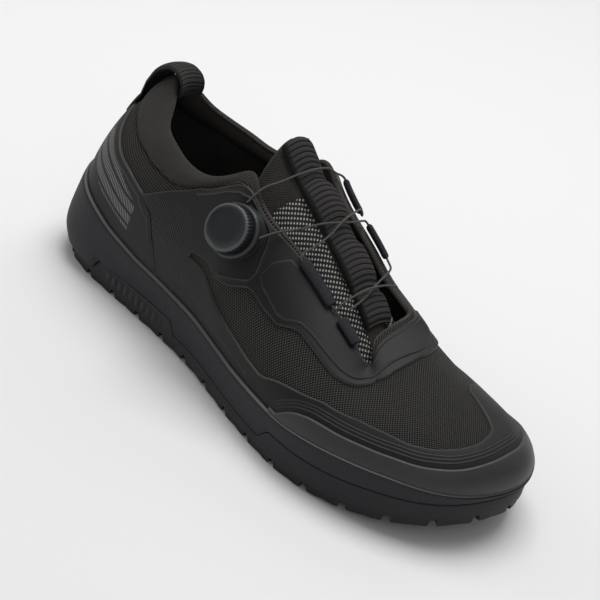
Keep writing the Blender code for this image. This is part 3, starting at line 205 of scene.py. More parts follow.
MEDIAL_SECTIONS = [
    Section(0.96, 0.695, 0.110, VAMP_HEIGHT, 0.955, 0.066, 0.48, 0.60, 0.006, -0.45),
    Section(0.90, 0.692, 0.175, VAMP_HEIGHT, 0.972, 0.042, 0.34, 0.48, 0.004, -0.50),
    Section(0.82, 0.678, 0.195, VAMP_HEIGHT, 1.000, 0.033, 0.29, 0.43, 0.004, -0.43),
    Section(0.75, 0.654, 0.188, INSTEP_HEIGHT, 0.672, 0.029, 0.29, 0.42, 0.006, -0.34),
    Section(0.68, 0.622, 0.174, INSTEP_HEIGHT, 0.722, 0.030, 0.34, 0.42, 0.010, -0.26),
    Section(0.62, 0.588, 0.170, INSTEP_HEIGHT, 0.790, 0.030, 0.34, 0.42, 0.015, -0.26),
    Section(0.56, 0.543, 0.175, INSTEP_HEIGHT, 0.855, 0.032, 0.34, 0.44, 0.030, -0.26),
    Section(0.50, 0.493, 0.190, INSTEP_HEIGHT, 0.918, 0.038, 0.34, 0.46, 0.050, -0.26),
    Section(0.47, 0.460, 0.212, INSTEP_HEIGHT, 0.962, 0.044, 0.36, 0.48, 0.065, -0.26),
    Section(0.45, 0.440, 0.225, INSTEP_HEIGHT, 0.996, 0.048, 0.38, 0.48, 0.075, -0.26),
    Section(0.43, 0.420, 0.232, INSTEP_HEIGHT, 1.010, 0.050, 0.38, 0.48, 0.080, -0.26),
    Section(0.40, 0.390, 0.245, COLLAR_HEIGHT, 1.105, 0.055, 0.38, 0.45, 0.080, -0.26),
    Section(0.35, 0.343, 0.259, COLLAR_HEIGHT, 1.033, 0.060, 0.36, 0.40, 0.075, -0.26),
    Section(0.29, 0.290, 0.259, COLLAR_HEIGHT, 0.995, 0.060, 0.34, 0.35, 0.070, -0.26),
    Section(0.22, 0.243, 0.250, COLLAR_HEIGHT, 1.000, 0.055, 0.34, 0.40, 0.060, -0.26),
    Section(0.15, 0.207, 0.227, COLLAR_HEIGHT, 1.017, 0.045, 0.36, 0.50, 0.040, -0.27),
    Section(0.08, 0.177, 0.177, COLLAR_HEIGHT, 1.055, 0.040, 0.38, 0.64, 0.015, -0.28),
    Section(0.03, 0.155, 0.109, HEEL_TAB_HEIGHT, 0.905, 0.030, 0.40, 0.75, 0.005, -0.29),
    Section(0.01, 0.132, 0.060, HEEL_TAB_HEIGHT, 0.965, 0.024, 0.40, 0.80, 0.000, -0.29),
]

# Lines drawn on the upper: the share of the section at a station of one side
Mark = namedtuple("Mark", "side station share")


def marks(side, pairs):
    return [Mark(side, station, share) for station, share in pairs]


HEEL_TOP = marks(LATERAL, [
    (0.000, 0.690), (0.036, 0.646), (0.059, 0.642), (0.140, 0.613), (0.211, 0.576), (0.222, 0.545),
    (0.258, 0.500), (0.289, 0.310), (0.302, 0.160), (0.312, 0.120),
])
COLLAR_SEAM = [
    (0.000, 0.760), (0.027, 0.750), (0.054, 0.775), (0.121, 0.787), (0.188, 0.775), (0.268, 0.804),
    (0.299, 0.838), (0.350, 0.900), (0.440, 0.950),
]
QUARTER_TOP = [
    (0.214, 0.572), (0.289, 0.775), (0.348, 0.892), (0.400, 0.897), (0.425, 0.912), (0.450, 0.965),
]
QUARTER_LOW = [
    (0.214, 0.560), (0.232, 0.536), (0.261, 0.514), (0.292, 0.325), (0.306, 0.165), (0.316, 0.060),
]
EYESTAY_TOP = (
    marks(LATERAL, [*QUARTER_TOP, (0.466, 0.985), (0.700, 0.985), (1.000, 0.985)])
    + marks(MEDIAL, [(0.466, 0.985), *QUARTER_TOP])
)
EYESTAY_LOW = (
    marks(LATERAL, [
        *QUARTER_LOW, (0.355, 0.060), (0.386, 0.440), (0.456, 0.412), (0.497, 0.492), (0.526, 0.577),
        (0.540, 0.590), (0.570, 0.568), (0.607, 0.575), (0.629, 0.655), (0.641, 0.683), (0.679, 0.690),
        (0.737, 0.695), (0.772, 0.730), (0.839, 0.812), (0.894, 0.872), (0.947, 0.864), (1.000, 0.876),
    ])
    + marks(MEDIAL, [
        (0.961, 0.858), (0.900, 0.830), (0.800, 0.760), (0.700, 0.680), (0.600, 0.620), (0.520, 0.560),
        (0.440, 0.460), (0.386, 0.440), (0.355, 0.060), *QUARTER_LOW[::-1],
    ])
)
MESH_LOW = (
    marks(LATERAL, [
        (0.328, 0.060), (0.362, 0.436), (0.439, 0.342), (0.520, 0.275), (0.581, 0.245), (0.627, 0.248),
        (0.655, 0.321), (0.679, 0.371), (0.755, 0.496), (0.841, 0.533), (0.894, 0.504), (0.930, 0.455),
        (0.959, 0.438), (0.984, 0.438), (0.995, 0.452),
    ])
    + marks(MEDIAL, [
        (1.000, 0.500), (0.997, 0.620), (0.990, 0.690), (0.970, 0.690), (0.940, 0.640), (0.880, 0.560),
        (0.780, 0.480), (0.660, 0.400), (0.560, 0.340), (0.439, 0.342), (0.362, 0.436), (0.328, 0.060),
    ])
)
RAND_TOP = (
    marks(LATERAL, [
        (0.650, 0.050), (0.672, 0.090), (0.703, 0.242), (0.730, 0.310), (0.765, 0.346), (0.845, 0.350),
        (0.911, 0.325), (0.934, 0.302), (0.976, 0.292), (0.994, 0.317),
    ])
    + marks(MEDIAL, [
        (1.000, 0.346), (0.990, 0.354), (0.900, 0.330), (0.800, 0.340), (0.760, 0.330), (0.700, 0.240),
        (0.660, 0.090), (0.630, 0.050),
    ])
)
RAND_ENDS = (math.acos(1 - 2 * 0.668), 2 * math.pi - math.acos(1 - 2 * 0.640))

# Relief moulded in the eyestay's film: the plateau in front of the dial, and the bead round the dial
PLATEAU = (
    marks(LATERAL, [
        (0.552, 0.665), (0.540, 0.708), (0.543, 0.817), (0.560, 0.918), (0.581, 0.925), (0.632, 0.944),
        (0.690, 0.958), (0.870, 0.962), (0.999, 0.968),
    ])
    + marks(MEDIAL, [(0.900, 0.965), (0.800, 0.945), (0.790, 0.880), (0.900, 0.890), (0.956, 0.888)])
    + marks(LATERAL, [
        (0.993, 0.900), (0.900, 0.902), (0.835, 0.862), (0.770, 0.790), (0.737, 0.767), (0.655, 0.745),
        (0.632, 0.720), (0.612, 0.640), (0.597, 0.622),
    ])
)
DIAL_BEAD = marks(LATERAL, [
    (0.352, 0.840), (0.390, 0.846), (0.425, 0.852), (0.446, 0.905), (0.460, 0.955), (0.492, 0.966),
    (0.508, 0.950), (0.517, 0.883), (0.532, 0.696), (0.527, 0.628), (0.500, 0.560), (0.462, 0.455),
])
QUARTER_LINE = marks(LATERAL, [
    (0.296, 0.410), (0.362, 0.283), (0.433, 0.163), (0.512, 0.160), (0.600, 0.168),
])

# The tongue from its tip under the vamp to its padded top, as shares of the length, height and ball width
TongueRow = namedtuple("TongueRow", "x z half drop pad")
TONGUE = [
    TongueRow(0.735, 0.405, 0.190, 0.075, 0.55),
    TongueRow(0.700, 0.468, 0.205, 0.095, 0.60),
    TongueRow(0.660, 0.565, 0.225, 0.100, 0.70),
    TongueRow(0.615, 0.652, 0.240, 0.135, 0.75),
    TongueRow(0.570, 0.735, 0.250, 0.165, 0.80),
    TongueRow(0.525, 0.808, 0.255, 0.185, 0.90),
    TongueRow(0.485, 0.868, 0.252, 0.190, 1.00),
    TongueRow(0.450, 0.920, 0.240, 0.180, 1.10),
    TongueRow(0.428, 0.960, 0.230, 0.165, 1.15),
    TongueRow(0.412, 1.000, 0.218, 0.150, 1.10),
]
Keeper = namedtuple("Keeper", "start end rise")
KEEPERS = [
    Keeper(0.170, 0.265, 0.0016),
    Keeper(0.295, 0.445, 0.0022),
    Keeper(0.510, 0.695, 0.0024),
    Keeper(0.735, 0.985, 0.0014),
]
LOOP_PATH = [
    (0.060, 0.890), (0.077, 0.968), (0.102, 1.020),
    (0.126, 1.026), (0.140, 1.000), (0.143, 0.962), (0.139, 0.925),
]
LOOP_SEWN = (0.690, 0.810)
Guide = namedtuple("Guide", "name side first last share")
LATERAL_UPPER = Guide("guide_lateral_upper", LATERAL, 0.572, 0.640, 0.972)
LATERAL_LOWER = Guide("guide_lateral_lower", LATERAL, 0.664, 0.715, 0.972)
MEDIAL_UPPER = Guide("guide_medial_upper", MEDIAL, 0.472, 0.530, 1.000)
MEDIAL_LOWER = Guide("guide_medial_lower", MEDIAL, 0.565, 0.640, 1.000)
GUIDES = [LATERAL_UPPER, LATERAL_LOWER, MEDIAL_UPPER, MEDIAL_LOWER]
UPPER_RUN = [
    [(0.1344, -0.0344, 0.0963), (0.1362, -0.0275, 0.1040), (0.1388, -0.0180, 0.1078), (0.1406, -0.0090, 0.1112),
     (0.1414, 0.0000, 0.1125), (0.1408, 0.0100, 0.1110), (0.1385, 0.0190, 0.1055)],
    [(0.1600, 0.0190, 0.0968), (0.1640, 0.0090, 0.0986), (0.1672, 0.0000, 0.0987), (0.1692, -0.0100, 0.0930),
     (0.1690, -0.0190, 0.0880)],
    [(0.1960, -0.0190, 0.0735), (0.1960, -0.0080, 0.0768), (0.1968, 0.0010, 0.0782), (0.1975, 0.0090, 0.0775),
     (0.1978, 0.0150, 0.0756)],
]
LOWER_RUN = [
    [(0.1505, -0.0374, 0.0866), (0.1545, -0.0300, 0.0907), (0.1590, -0.0200, 0.0930), (0.1636, -0.0105, 0.0966),
     (0.1664, 0.0000, 0.0968), (0.1664, 0.0090, 0.0953), (0.1642, 0.0168, 0.0930)],
    [(0.1895, 0.0170, 0.0800), (0.1925, 0.0090, 0.0785), (0.1950, 0.0010, 0.0765), (0.1975, -0.0070, 0.0735),
     (0.1985, -0.0160, 0.0705)],
]


def colour(name, description, default):
    return FloatVectorProperty(
        name=name, description=description, default=default, subtype="COLOR", size=3, min=0.0, max=1.0
    )


def length(name, description, default):
    return FloatProperty(
        name=name, description=description, default=default, min=0.0, subtype="DISTANCE", unit="LENGTH"
    )


class ShoeColours(bpy.types.PropertyGroup):
    """Colours of the shoe's finishes and of the floor; the tape's and the lace's colours are painted highlights on
    their ribs and strands.
    """

    knit: colour("Knit", "Yarn of the collar, the rear quarter and the tongue", (0.019, 0.0180, 0.0163))
    mesh_dark: colour("Mesh ground", "Dark ground of the woven vamp", (0.0095, 0.0092, 0.0087))
    mesh_light: colour("Mesh thread", "Lighter thread of the woven vamp", (0.080, 0.077, 0.070))
    lining: colour("Lining", "Cloth inside the shoe", (0.060, 0.055, 0.052))
    film: colour("Film", "Moulded film of the overlays", (0.0088, 0.0082, 0.0082))
    rand: colour("Toe rand", "Rubber round the toe", (0.030, 0.0272, 0.0285))
    foam: colour("Foam", "Midsole", (0.0215, 0.0198, 0.0245))
    rubber: colour("Rubber", "Outsole", (0.0165, 0.0152, 0.0182))
    # The tape's colour is a painted highlight on its ribs; between them the webbing stays dark.
    tape: colour("Tape", "Painted highlight on the ribs of webbing and pull loop", (0.056, 0.053, 0.051))
    guide: colour("Guide tape", "Smooth tape of the lace guides", (0.0115, 0.0115, 0.0160))
    # The lace's colour is a painted glint on its twisted strands; between them the lace stays dark.
    lace_glint: colour("Lace", "Painted glint on the lace strands", (0.120, 0.115, 0.108))
    plastic: colour("Dial", "Plastic of the dial", (0.0110, 0.0118, 0.0130))
    dots: colour("Tongue dots", "Light eyes of the tongue's open mesh", (0.42, 0.41, 0.39))
    hatch: colour("Heel hatch", "Printed dashes on the heel panel", (0.19, 0.182, 0.185))
    floor: colour("Floor", "Studio floor", (0.82, 0.82, 0.82))


class ShoeSizes(bpy.types.PropertyGroup):
    """Sizes of the shoe's surface detail."""

    film_lift: length("Film height", "How far the films stand off the knit", 0.0015)
    rand_lift: length("Rand height", "How far the toe rand stands off the knit", 0.0021)
    edge_roll: length("Edge roll", "Width of the rounded edge of films and rand", 0.0010)
    collar_pad: length("Collar padding", "How far the padded collar swells on each side", 0.0017)
    weave_pitch: length("Mesh pitch", "Distance between threads of the woven vamp", 0.0015)
    knit_pitch: length("Knit pitch", "Distance between stitches of the knit", 0.0010)
    rib_pitch: length("Quarter rib pitch", "Distance between ribs of the rear quarter", 0.0015)
    tape_pitch: length("Tape rib pitch", "Distance between ribs of the webbing", 0.0029)
    dot_pitch: length("Dot pitch", "Distance between eyes of the tongue's open mesh", 0.0023)
    knurls: IntProperty(name="Knurls", description="Ridges round the dial's knob", default=44, min=12, max=80)


def colours():
    return bpy.context.scene.shoe_colours


def sizes():
    return bpy.context.scene.shoe_sizes


def periodic_spline(angles, values):
    """A closed natural curve: cubic pieces whose slopes match at every row, found by solving for them."""
    knots = np.asarray(angles, float)
    values = np.asarray(values, float)
    count = len(knots)
    steps = np.diff(np.append(knots, knots[0] + 2 * math.pi))
    rises = np.roll(values, -1, axis=0) - values
    rows = np.zeros((count, count))
    right = np.zeros_like(values)
    for i in range(count):
        before, after = steps[i - 1], steps[i]
        rows[i, i - 1] += 1 / before
        rows[i, i] += 2 / before + 2 / after
        rows[i, (i + 1) % count] += 1 / after
        right[i] = 3 * rises[i - 1] / before**2 + 3 * rises[i] / after**2
    slopes = np.linalg.solve(rows, right)

    def evaluate(angle):
        angle = np.mod(np.asarray(angle, float) - knots[0], 2 * math.pi) + knots[0]
        i = np.clip(np.searchsorted(knots, angle, side="right") - 1, 0, count - 1)
        j = (i + 1) % count
        h = steps[i]
        u = (angle - knots[i]) / h
        if values.ndim > 1:
            u, h = u[..., None], h[..., None]
        return (
            (2 * u**3 - 3 * u**2 + 1) * values[i]
            + (u**3 - 2 * u**2 + u) * h * slopes[i]
            + (3 * u**2 - 2 * u**3) * values[j]
            + (u**3 - u**2) * h * slopes[j]
        )

    return evaluate


def smooth(u):
    """Rises from 0 to 1 as u does, level at both ends: u squared times three minus twice u."""
    u = np.clip(u, 0, 1)
    return u * u * (3 - 2 * u)


def unit(vectors):
    return vectors / np.linalg.norm(vectors, axis=-1, keepdims=True)


def run_along(points, axis=0):
    """Distance from a path's first point to each of its points, or the same along one axis of a grid."""
    steps = np.linalg.norm(np.diff(points, axis=axis), axis=-1)
    return np.insert(np.cumsum(steps, axis=axis), 0, 0.0, axis=axis)


def station_of(angle):
    """Share of the length, half of one minus the cosine: 0 at the heel (angle 0), 1 at the toe (angle pi)."""
    return (1 - np.cos(angle)) / 2


def angle_of(station, side):
    half = math.acos(1 - 2 * station)
    return half if side == LATERAL else 2 * math.pi - half


def local_width(station):
    return HEEL_WIDTH + (BALL_WIDTH - HEEL_WIDTH) * smooth((station - 0.30) / 0.40)


def outline_spline():
    lateral = [(angle_of(row.station, LATERAL), -row.lateral) for row in OUTLINE]
    medial = [(angle_of(row.station, MEDIAL), row.medial) for row in OUTLINE[-2:0:-1]]
    angles, shares = zip(*(lateral + medial))
    return periodic_spline(angles, shares)


OUTLINE_SHARE = outline_spline()


def outline_plain(angle):
    station = station_of(angle)
    return np.stack([LENGTH * station, OUTLINE_SHARE(angle) * local_width(station)], axis=-1)


def outline_normal(angle):
    """Outward plan normals: the outline's direction turned by a right angle."""
    step = 1e-3
    along = unit(outline_plain(angle + step) - outline_plain(angle - step))
    return np.stack([along[..., 1], -along[..., 0]], axis=-1)


def outline_point(angle, inset=0.0):
    angle = np.asarray(angle, float)
    return outline_plain(angle) - outline_normal(angle) * np.asarray(inset)[..., None]


def ground(station, share_medial=0.0):
    """Height of the tread above the floor: flat at heel and ball, up at toe, arch and the heel's edge."""
    toe = TOE_SPRING * np.clip((station - 0.70) / 0.30, 0, 1) ** 2.2
    heel = HEEL_BEVEL * np.clip((0.08 - station) / 0.08, 0, 1) ** 2
    arch = ARCH_RISE * smooth(1 - np.abs(station - 0.44) / 0.14) * (0.4 + 0.6 * share_medial)
    return toe + heel + arch


def footbed(station):
    stack = np.interp(
        station,
        [0.0, 0.30, 0.45, 0.60, 0.75, 1.0],
        [
            HEEL_STACK, HEEL_STACK * 0.97, (HEEL_STACK + BALL_STACK) / 2,
            BALL_STACK * 1.05, BALL_STACK, TOE_STACK,
        ],
    )
    return stack + TOE_SPRING * np.clip((station - 0.70) / 0.30, 0, 1) ** 2.2


def sidewall_top(station):
    stations, shares = zip(*SIDEWALL)
    return HEEL_CUP_HEIGHT * np.interp(station, stations, shares)


def section_splines():
    rows = [(0.0, 0, HEEL_SECTION)]
    rows += [(angle_of(r.station, LATERAL), LATERAL, r) for r in LATERAL_SECTIONS]
    rows += [(math.pi, MEDIAL, TOE_SECTION)]
    rows += [(angle_of(r.station, MEDIAL), MEDIAL, r) for r in MEDIAL_SECTIONS]
    angles = [angle for angle, side, r in rows]
    rim = [(r.rim_x * LENGTH, side * r.rim_y * BALL_WIDTH, r.rim_z * r.height) for angle, side, r in rows]
    handles = [(r.low_out, r.low_up, r.high_back, r.high_out, r.high_up) for angle, side, r in rows]
    return periodic_spline(angles, rim), periodic_spline(angles, handles)


RIM, HANDLES = section_splines()
FOOT_INSET = RIM_WALL + 2 * GAP


def upper_point(angle, share):
    """Outer surface of the upper: each section is a cubic curve, share 0 at the foot and 1 at the rim."""
    angle = np.asarray(angle, float)
    station = station_of(angle)
    normal = outline_normal(angle)
    foot = np.concatenate([outline_point(angle, FOOT_INSET), (footbed(station) + GAP)[..., None]], axis=-1)
    rim = RIM(angle)
    low_out, low_up, high_back, high_out, high_up = np.moveaxis(HANDLES(angle), -1, 0)
    rise = rim[..., 2] - foot[..., 2]
    low = foot.copy()
    low[..., :2] += normal * (low_out * BALL_WIDTH)[..., None]
    low[..., 2] += low_up * rise
    high = rim.copy()
    high[..., :2] += high_back[..., None] * (foot - rim)[..., :2]
    high[..., :2] += normal * (high_out * BALL_WIDTH)[..., None]
    high[..., 2] += high_up * rise
    t = np.asarray(share, float)[..., None]
    return foot * (1 - t) ** 3 + 3 * low * t * (1 - t) ** 2 + 3 * high * t * t * (1 - t) + rim * t**3


def upper_normal(angle, share):
    """Outward unit normals: the direction round the shoe crossed with the direction up the section."""
    step = 1e-3
    share = np.asarray(share, float)
    around = upper_point(angle + step, share) - upper_point(angle - step, share)
    up = upper_point(angle, np.clip(share + step, 0, 1)) - upper_point(angle, np.clip(share - step, 0, 1))
    return unit(np.cross(around, up))


def upper_offset(angle, share, out):
    return upper_point(angle, share) + upper_normal(angle, share) * np.asarray(out, float)[..., None]


def rim_share(angles):
    """Share of each section at the top of the midsole's side wall, read from the section's own heights."""
    fine = np.linspace(0, 2 * math.pi, 241)
    shares = np.linspace(0, 0.8, 161)
    a, t = np.meshgrid(fine, shares, indexing="ij")
    heights = upper_point(a, t)[..., 2]
    wanted = sidewall_top(station_of(fine))
    found = np.array([np.interp(h, z, shares) for h, z in zip(wanted, heights)])
    return np.interp(np.mod(angles, 2 * math.pi), fine, found)


def ring_angles(half):
    """Angles round the shoe with lateral and medial columns at the same stations, closer at toe and heel."""
    u = np.arange(half) / half
    first = math.pi * u + 0.17 * np.sin(2 * math.pi * u)
    return np.concatenate([first, [math.pi], 2 * math.pi - first[:0:-1]])


def find_shift():
    """The move from the heel's back to the frame: the outsole's lowest corner minus its outline's own."""
    low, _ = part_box("outsole")
    plan = outline_point(ring_angles(SOLE_HALF))
    return np.array([low.x - plan[:, 0].min(), low.y - plan[:, 1].min(), 0.0])


SHIFT = find_shift()


def add_mesh(name, points, faces, finishes, flat=None, fields=None, picks=None, sharp=None):
    """One closed mesh, moved to the frame, its faces turned outwards if its signed volume is negative.

    flat is a 2-D place in metres for each point, fields are named numbers for each point, and picks gives
    each face its material's index.
    """
    points = np.asarray(points, float) + SHIFT
    if signed_volume(points, faces) < 0:
        faces = [face[::-1] for face in faces]
    mesh = bpy.data.meshes.new(name)
    mesh.from_pydata(points.tolist(), [], faces)
    if flat is not None:
        corners = np.empty(len(mesh.loops), np.int32)
        mesh.loops.foreach_get("vertex_index", corners)
        layer = mesh.uv_layers.new(name="flat")
        layer.data.foreach_set("uv", np.asarray(flat, np.float32)[corners].ravel())
    for field, values in (fields or {}).items():
        layer = mesh.attributes.new(field, "FLOAT", "POINT")
        layer.data.foreach_set("value", np.asarray(values, np.float32).ravel())
    for finish in finishes:
        mesh.materials.append(finish)
    if picks is not None:
        mesh.polygons.foreach_set("material_index", np.asarray(picks, np.int32))
    mesh.shade_smooth()
    if sharp:
        mesh.set_sharp_from_angle(angle=math.radians(sharp))
    mesh.update()
    obj = bpy.data.objects.new(name, mesh)
    bpy.context.scene.collection.objects.link(obj)
    return obj


def signed_volume(points, faces):
    """A sixth of the sum, over the fan of triangles of each face, of the triple product of its corners."""
    total = 0.0
    quads = np.array([face for face in faces if len(face) == 4])
    middle = points.mean(axis=0)
    if len(quads):
        a, b, c, d = (points[quads[:, k]] - middle for k in range(4))
        total += np.einsum("ij,ij->", a, np.cross(b, c)) + np.einsum("ij,ij->", a, np.cross(c, d))
    for face in faces:
        if len(face) != 4:
            first, *others = points[list(face)] - middle
            total += (np.cross(others[:-1], others[1:]) @ first).sum()
    return total / 6


def grid_quads(rows, columns, wrap_rows=False, wrap_columns=False):
    """Corners of the quads of a grid, row by row."""
    bands, strips = rows - (not wrap_rows), columns - (not wrap_columns)
    r, c = (v.ravel() for v in np.meshgrid(np.arange(bands), np.arange(strips), indexing="ij"))
    here, above, across = r * columns, (r + 1) % rows * columns, (c + 1) % columns
    return np.stack([here + c, here + across, above + across, above + c], axis=-1).tolist()


def tube_faces(rows, columns):
    """Faces of a tube of rings, row by row, with a flat face at each end."""
    last = (rows - 1) * columns
    ends = [list(range(columns))[::-1], list(range(last, last + columns))]
    return grid_quads(rows, columns, wrap_columns=True) + ends


def finish_piece(obj, slot, *nodes):
    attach(obj, "root")
    if nodes:
        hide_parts(*nodes)
    return obj


def even_columns(first, last, count, share):
    """Angles between two ends, spaced evenly along the upper at one share."""
    fine = np.linspace(first, last, 1500)
    path = upper_point(fine, share)
    run = run_along(path)
    return np.interp(np.linspace(0, run[-1], count), run, fine)


def line_on_upper(rows, angles, blur=0.006):
    """A line's shares at the angles: straight between its marks, with its corners rounded by averaging."""
    at = np.array([angle_of(row.station, row.side) for row in rows])
    order = np.argsort(at)
    shares = np.array([row.share for row in rows])[order]
    offsets = np.linspace(-blur, blur, 9)
    return np.interp(angles[..., None] + offsets, at[order], shares).mean(axis=-1)


def densify(at, share, spacing=0.0005):
    """Angles and shares along a path on the upper, straight between its corners and about evenly spaced."""
    gaps = np.linalg.norm(np.diff(upper_point(at, share), axis=0), axis=1)
    counts = np.maximum(np.ceil(gaps / spacing).astype(int), 1)
    index = np.repeat(np.arange(len(gaps)), counts)
    mix = (np.arange(len(index)) - np.repeat(np.cumsum(counts) - counts, counts)) / counts[index]
    return at[index] + np.diff(at)[index] * mix, share[index] + np.diff(share)[index] * mix


def path_on_upper(rows, round_by=5):
    """Dense angles and shares of a line drawn on the upper, its corners rounded by averaging."""
    at = np.array([angle_of(row.station, row.side) for row in rows])
    line = densify(at, np.array([row.share for row in rows]))
    padded = [np.pad(v, round_by // 2, mode="edge") for v in line]
    return np.stack([np.convolve(v, np.ones(round_by) / round_by, "valid") for v in padded], axis=-1)


def distance_to(points, path):
    """Distance from each point to the path's nearest: both squares less twice the product, in batches."""
    flat = points.reshape(-1, 3)
    out = np.empty(len(flat))
    batch = 4000
    for start in range(0, len(flat), batch):
        block = flat[start:start + batch]
        square = (block**2).sum(axis=1)[:, None] + (path**2).sum(axis=1)[None, :] - 2 * block @ path.T
        out[start:start + batch] = np.sqrt(np.maximum(square.min(axis=1), 0))
    return out.reshape(points.shape[:-1])


def inside_polygon(a, t, polygon):
    """Whether points of angle and share lie in a closed polygon, by counting the edges that a ray crosses."""
    inside = np.zeros(a.shape, bool)
    for (x0, y0), (x1, y1) in zip(polygon, np.roll(polygon, -1, axis=0)):
        crosses = (y0 > t) != (y1 > t)
        with np.errstate(divide="ignore", invalid="ignore"):
            x = x0 + (t - y0) * (x1 - x0) / (y1 - y0)
        inside ^= crosses & (a < x)
    return inside


def beside(path, closed):
    """A signed distance to a path: positive inside its closed loop, or above it if it is open."""
    places = upper_point(path[:, 0], path[:, 1])

    def measure(a, t, points):
        if closed:
            within = inside_polygon(a, t, path[::5])
        else:
            order = np.argsort(path[:, 0])
            within = t > np.interp(a, path[order, 0], path[order, 1])
        away = distance_to(points, places)
        return np.where(within, away, -away)

    return measure


def panel(name, finish_used, columns, low, high, lift, rows, *, ridges=(), stripes=(), relief=None,
          print_mask=None):
    """A moulded piece on the upper between two lines of shares, its border rounded by a quarter circle.

    Rows crowd towards both edges. ridges holds up to two functions of angle, share and points that give signed
    distances, whose zero the finish draws as a ridge, and stripes one more for fine lines side by side. relief
    adds height, and print_mask marks a print or ribs. The underside lies just inside the knit.
    """
    roll = sizes().edge_roll
    samples = np.linspace(0, 1, 9)[:, None]
    strip = upper_point(np.broadcast_to(columns, (9, len(columns))), low + (high - low) * samples)
    width = np.linalg.norm(np.diff(strip, axis=0), axis=-1).sum(axis=0)
    edge = np.minimum(roll, 0.45 * width)
    ease = np.array([0.0, 0.06, 0.2, 0.45, 0.72, 1.0])[:, None]
    middle = np.linspace(0, 1, rows)[1:-1, None]
    along = np.vstack([ease * edge, edge + middle * (width - 2 * edge), width - ease[::-1] * edge])
    a = np.broadcast_to(columns, along.shape).copy()
    t = low + (high - low) * along / width
    points = upper_point(a, t)
    corners = np.concatenate([columns, columns[::-1], columns[:1]])
    border = upper_point(*densify(corners, np.concatenate([low, high[::-1], low[:1]])))
    from_edge = distance_to(points, border)
    near = np.clip(from_edge / roll, 0, 1)
    height = lift * np.sqrt(1 - (1 - near) ** 2)
    if relief is not None:
        height = height + relief(a, t, points) * near
    normal = upper_normal(a, t)
    top = points + normal * height[..., None]
    sunk = points[[-1, 0]] - normal[[-1, 0]] * PANEL_SINK
    grid = np.vstack([top, sunk])
    count = len(columns)
    faces = grid_quads(len(grid), count, wrap_rows=True)
    first_end = [r * count for r in range(len(grid))]
    faces += [first_end, [corner + count - 1 for corner in first_end[::-1]]]
    far = np.full((2, count), FAR_AWAY)
    fields = {"border": np.vstack([from_edge, far])}
    for field, measures in (("ridge_a", ridges[:1]), ("ridge_b", ridges[1:]), ("stripes", stripes)):
        values = measures[0](a, t, points) if measures else np.full(along.shape, FAR_AWAY)
        fields[field] = np.vstack([values, far])
    run = run_along(points[len(along) // 2])
    flat = np.stack([np.broadcast_to(run, grid.shape[:2]), np.vstack([along, along[[-1, 0]]])], axis=-1)
    if print_mask is not None:
        fields["print"] = np.vstack([print_mask(a, t), np.zeros((2, count))])
    return add_mesh(name, grid.reshape(-1, 3), faces, [finish_used], flat.reshape(-1, 2), fields)


def new_group(name, inputs, outputs):
    """A shader node group with its own sockets; returns the tree, its input node and its output node."""
    tree = bpy.data.node_groups.new(name, "ShaderNodeTree")
    for label, kind, default in inputs:
        socket = tree.interface.new_socket(name=label, in_out="INPUT", socket_type=kind)
        if default is not None:
            socket.default_value = default
    for label, kind in outputs:
        tree.interface.new_socket(name=label, in_out="OUTPUT", socket_type=kind)
    return tree, tree.nodes.new("NodeGroupInput"), tree.nodes.new("NodeGroupOutput")


def math_node(tree, operation, first, second=None, third=None):
    node = tree.nodes.new("ShaderNodeMath")
    node.operation = operation
    for socket, value in zip(node.inputs, (first, second, third)):
        if value is None:
            continue
        if isinstance(value, (int, float)):
            socket.default_value = value
        else:
            tree.links.new(value, socket)
    return node.outputs[0]


def mix_colours(tree, factor, first, second):
    node = tree.nodes.new("ShaderNodeMix")
    node.data_type = "RGBA"
    tree.links.new(factor, node.inputs["Factor"])
    for socket, value in ((node.inputs[6], first), (node.inputs[7], second)):
        if isinstance(value, bpy.types.NodeSocket):
            tree.links.new(value, socket)
        else:
            socket.default_value = (*value, 1.0)
    return node.outputs[2]


def weave_group():
    """Crossed threads: the product of two sines, one along each direction of a flat place in metres."""
    tree, given, out = new_group(
        "crossed_threads",
        [("Place", "NodeSocketVector", None), ("Pitch", "NodeSocketFloat", 0.0015)],
        [("Height", "NodeSocketFloat"), ("Eyes", "NodeSocketFloat")],
    )
    split = tree.nodes.new("ShaderNodeSeparateXYZ")
    tree.links.new(given.outputs["Place"], split.inputs[0])
    turn = math_node(tree, "DIVIDE", 2 * math.pi, given.outputs["Pitch"])
    wave_x = math_node(tree, "SINE", math_node(tree, "MULTIPLY", split.outputs["X"], turn))
    wave_y = math_node(tree, "SINE", math_node(tree, "MULTIPLY", split.outputs["Y"], turn))
    product = math_node(tree, "MULTIPLY", wave_x, wave_y)
    tree.links.new(math_node(tree, "MULTIPLY_ADD", product, 0.5, 0.5), out.inputs["Height"])
    lifted = math_node(tree, "MULTIPLY_ADD", product, 3.0, -0.75)
    eyes = math_node(tree, "MINIMUM", math_node(tree, "MAXIMUM", lifted, 0.0), 1.0)
    tree.links.new(eyes, out.inputs["Eyes"])
    return tree


def ribs_group():
    """Parallel ribs: a sine of the distance along, between 0 and 1."""
    tree, given, out = new_group(
        "parallel_ribs",
        [("Distance", "NodeSocketFloat", 0.0), ("Pitch", "NodeSocketFloat", 0.0015)],
        [("Height", "NodeSocketFloat")],
    )
    turn = math_node(tree, "DIVIDE", 2 * math.pi, given.outputs["Pitch"])
    wave = math_node(tree, "SINE", math_node(tree, "MULTIPLY", given.outputs["Distance"], turn))
    tree.links.new(math_node(tree, "MULTIPLY_ADD", wave, 0.5, 0.5), out.inputs["Height"])
    return tree


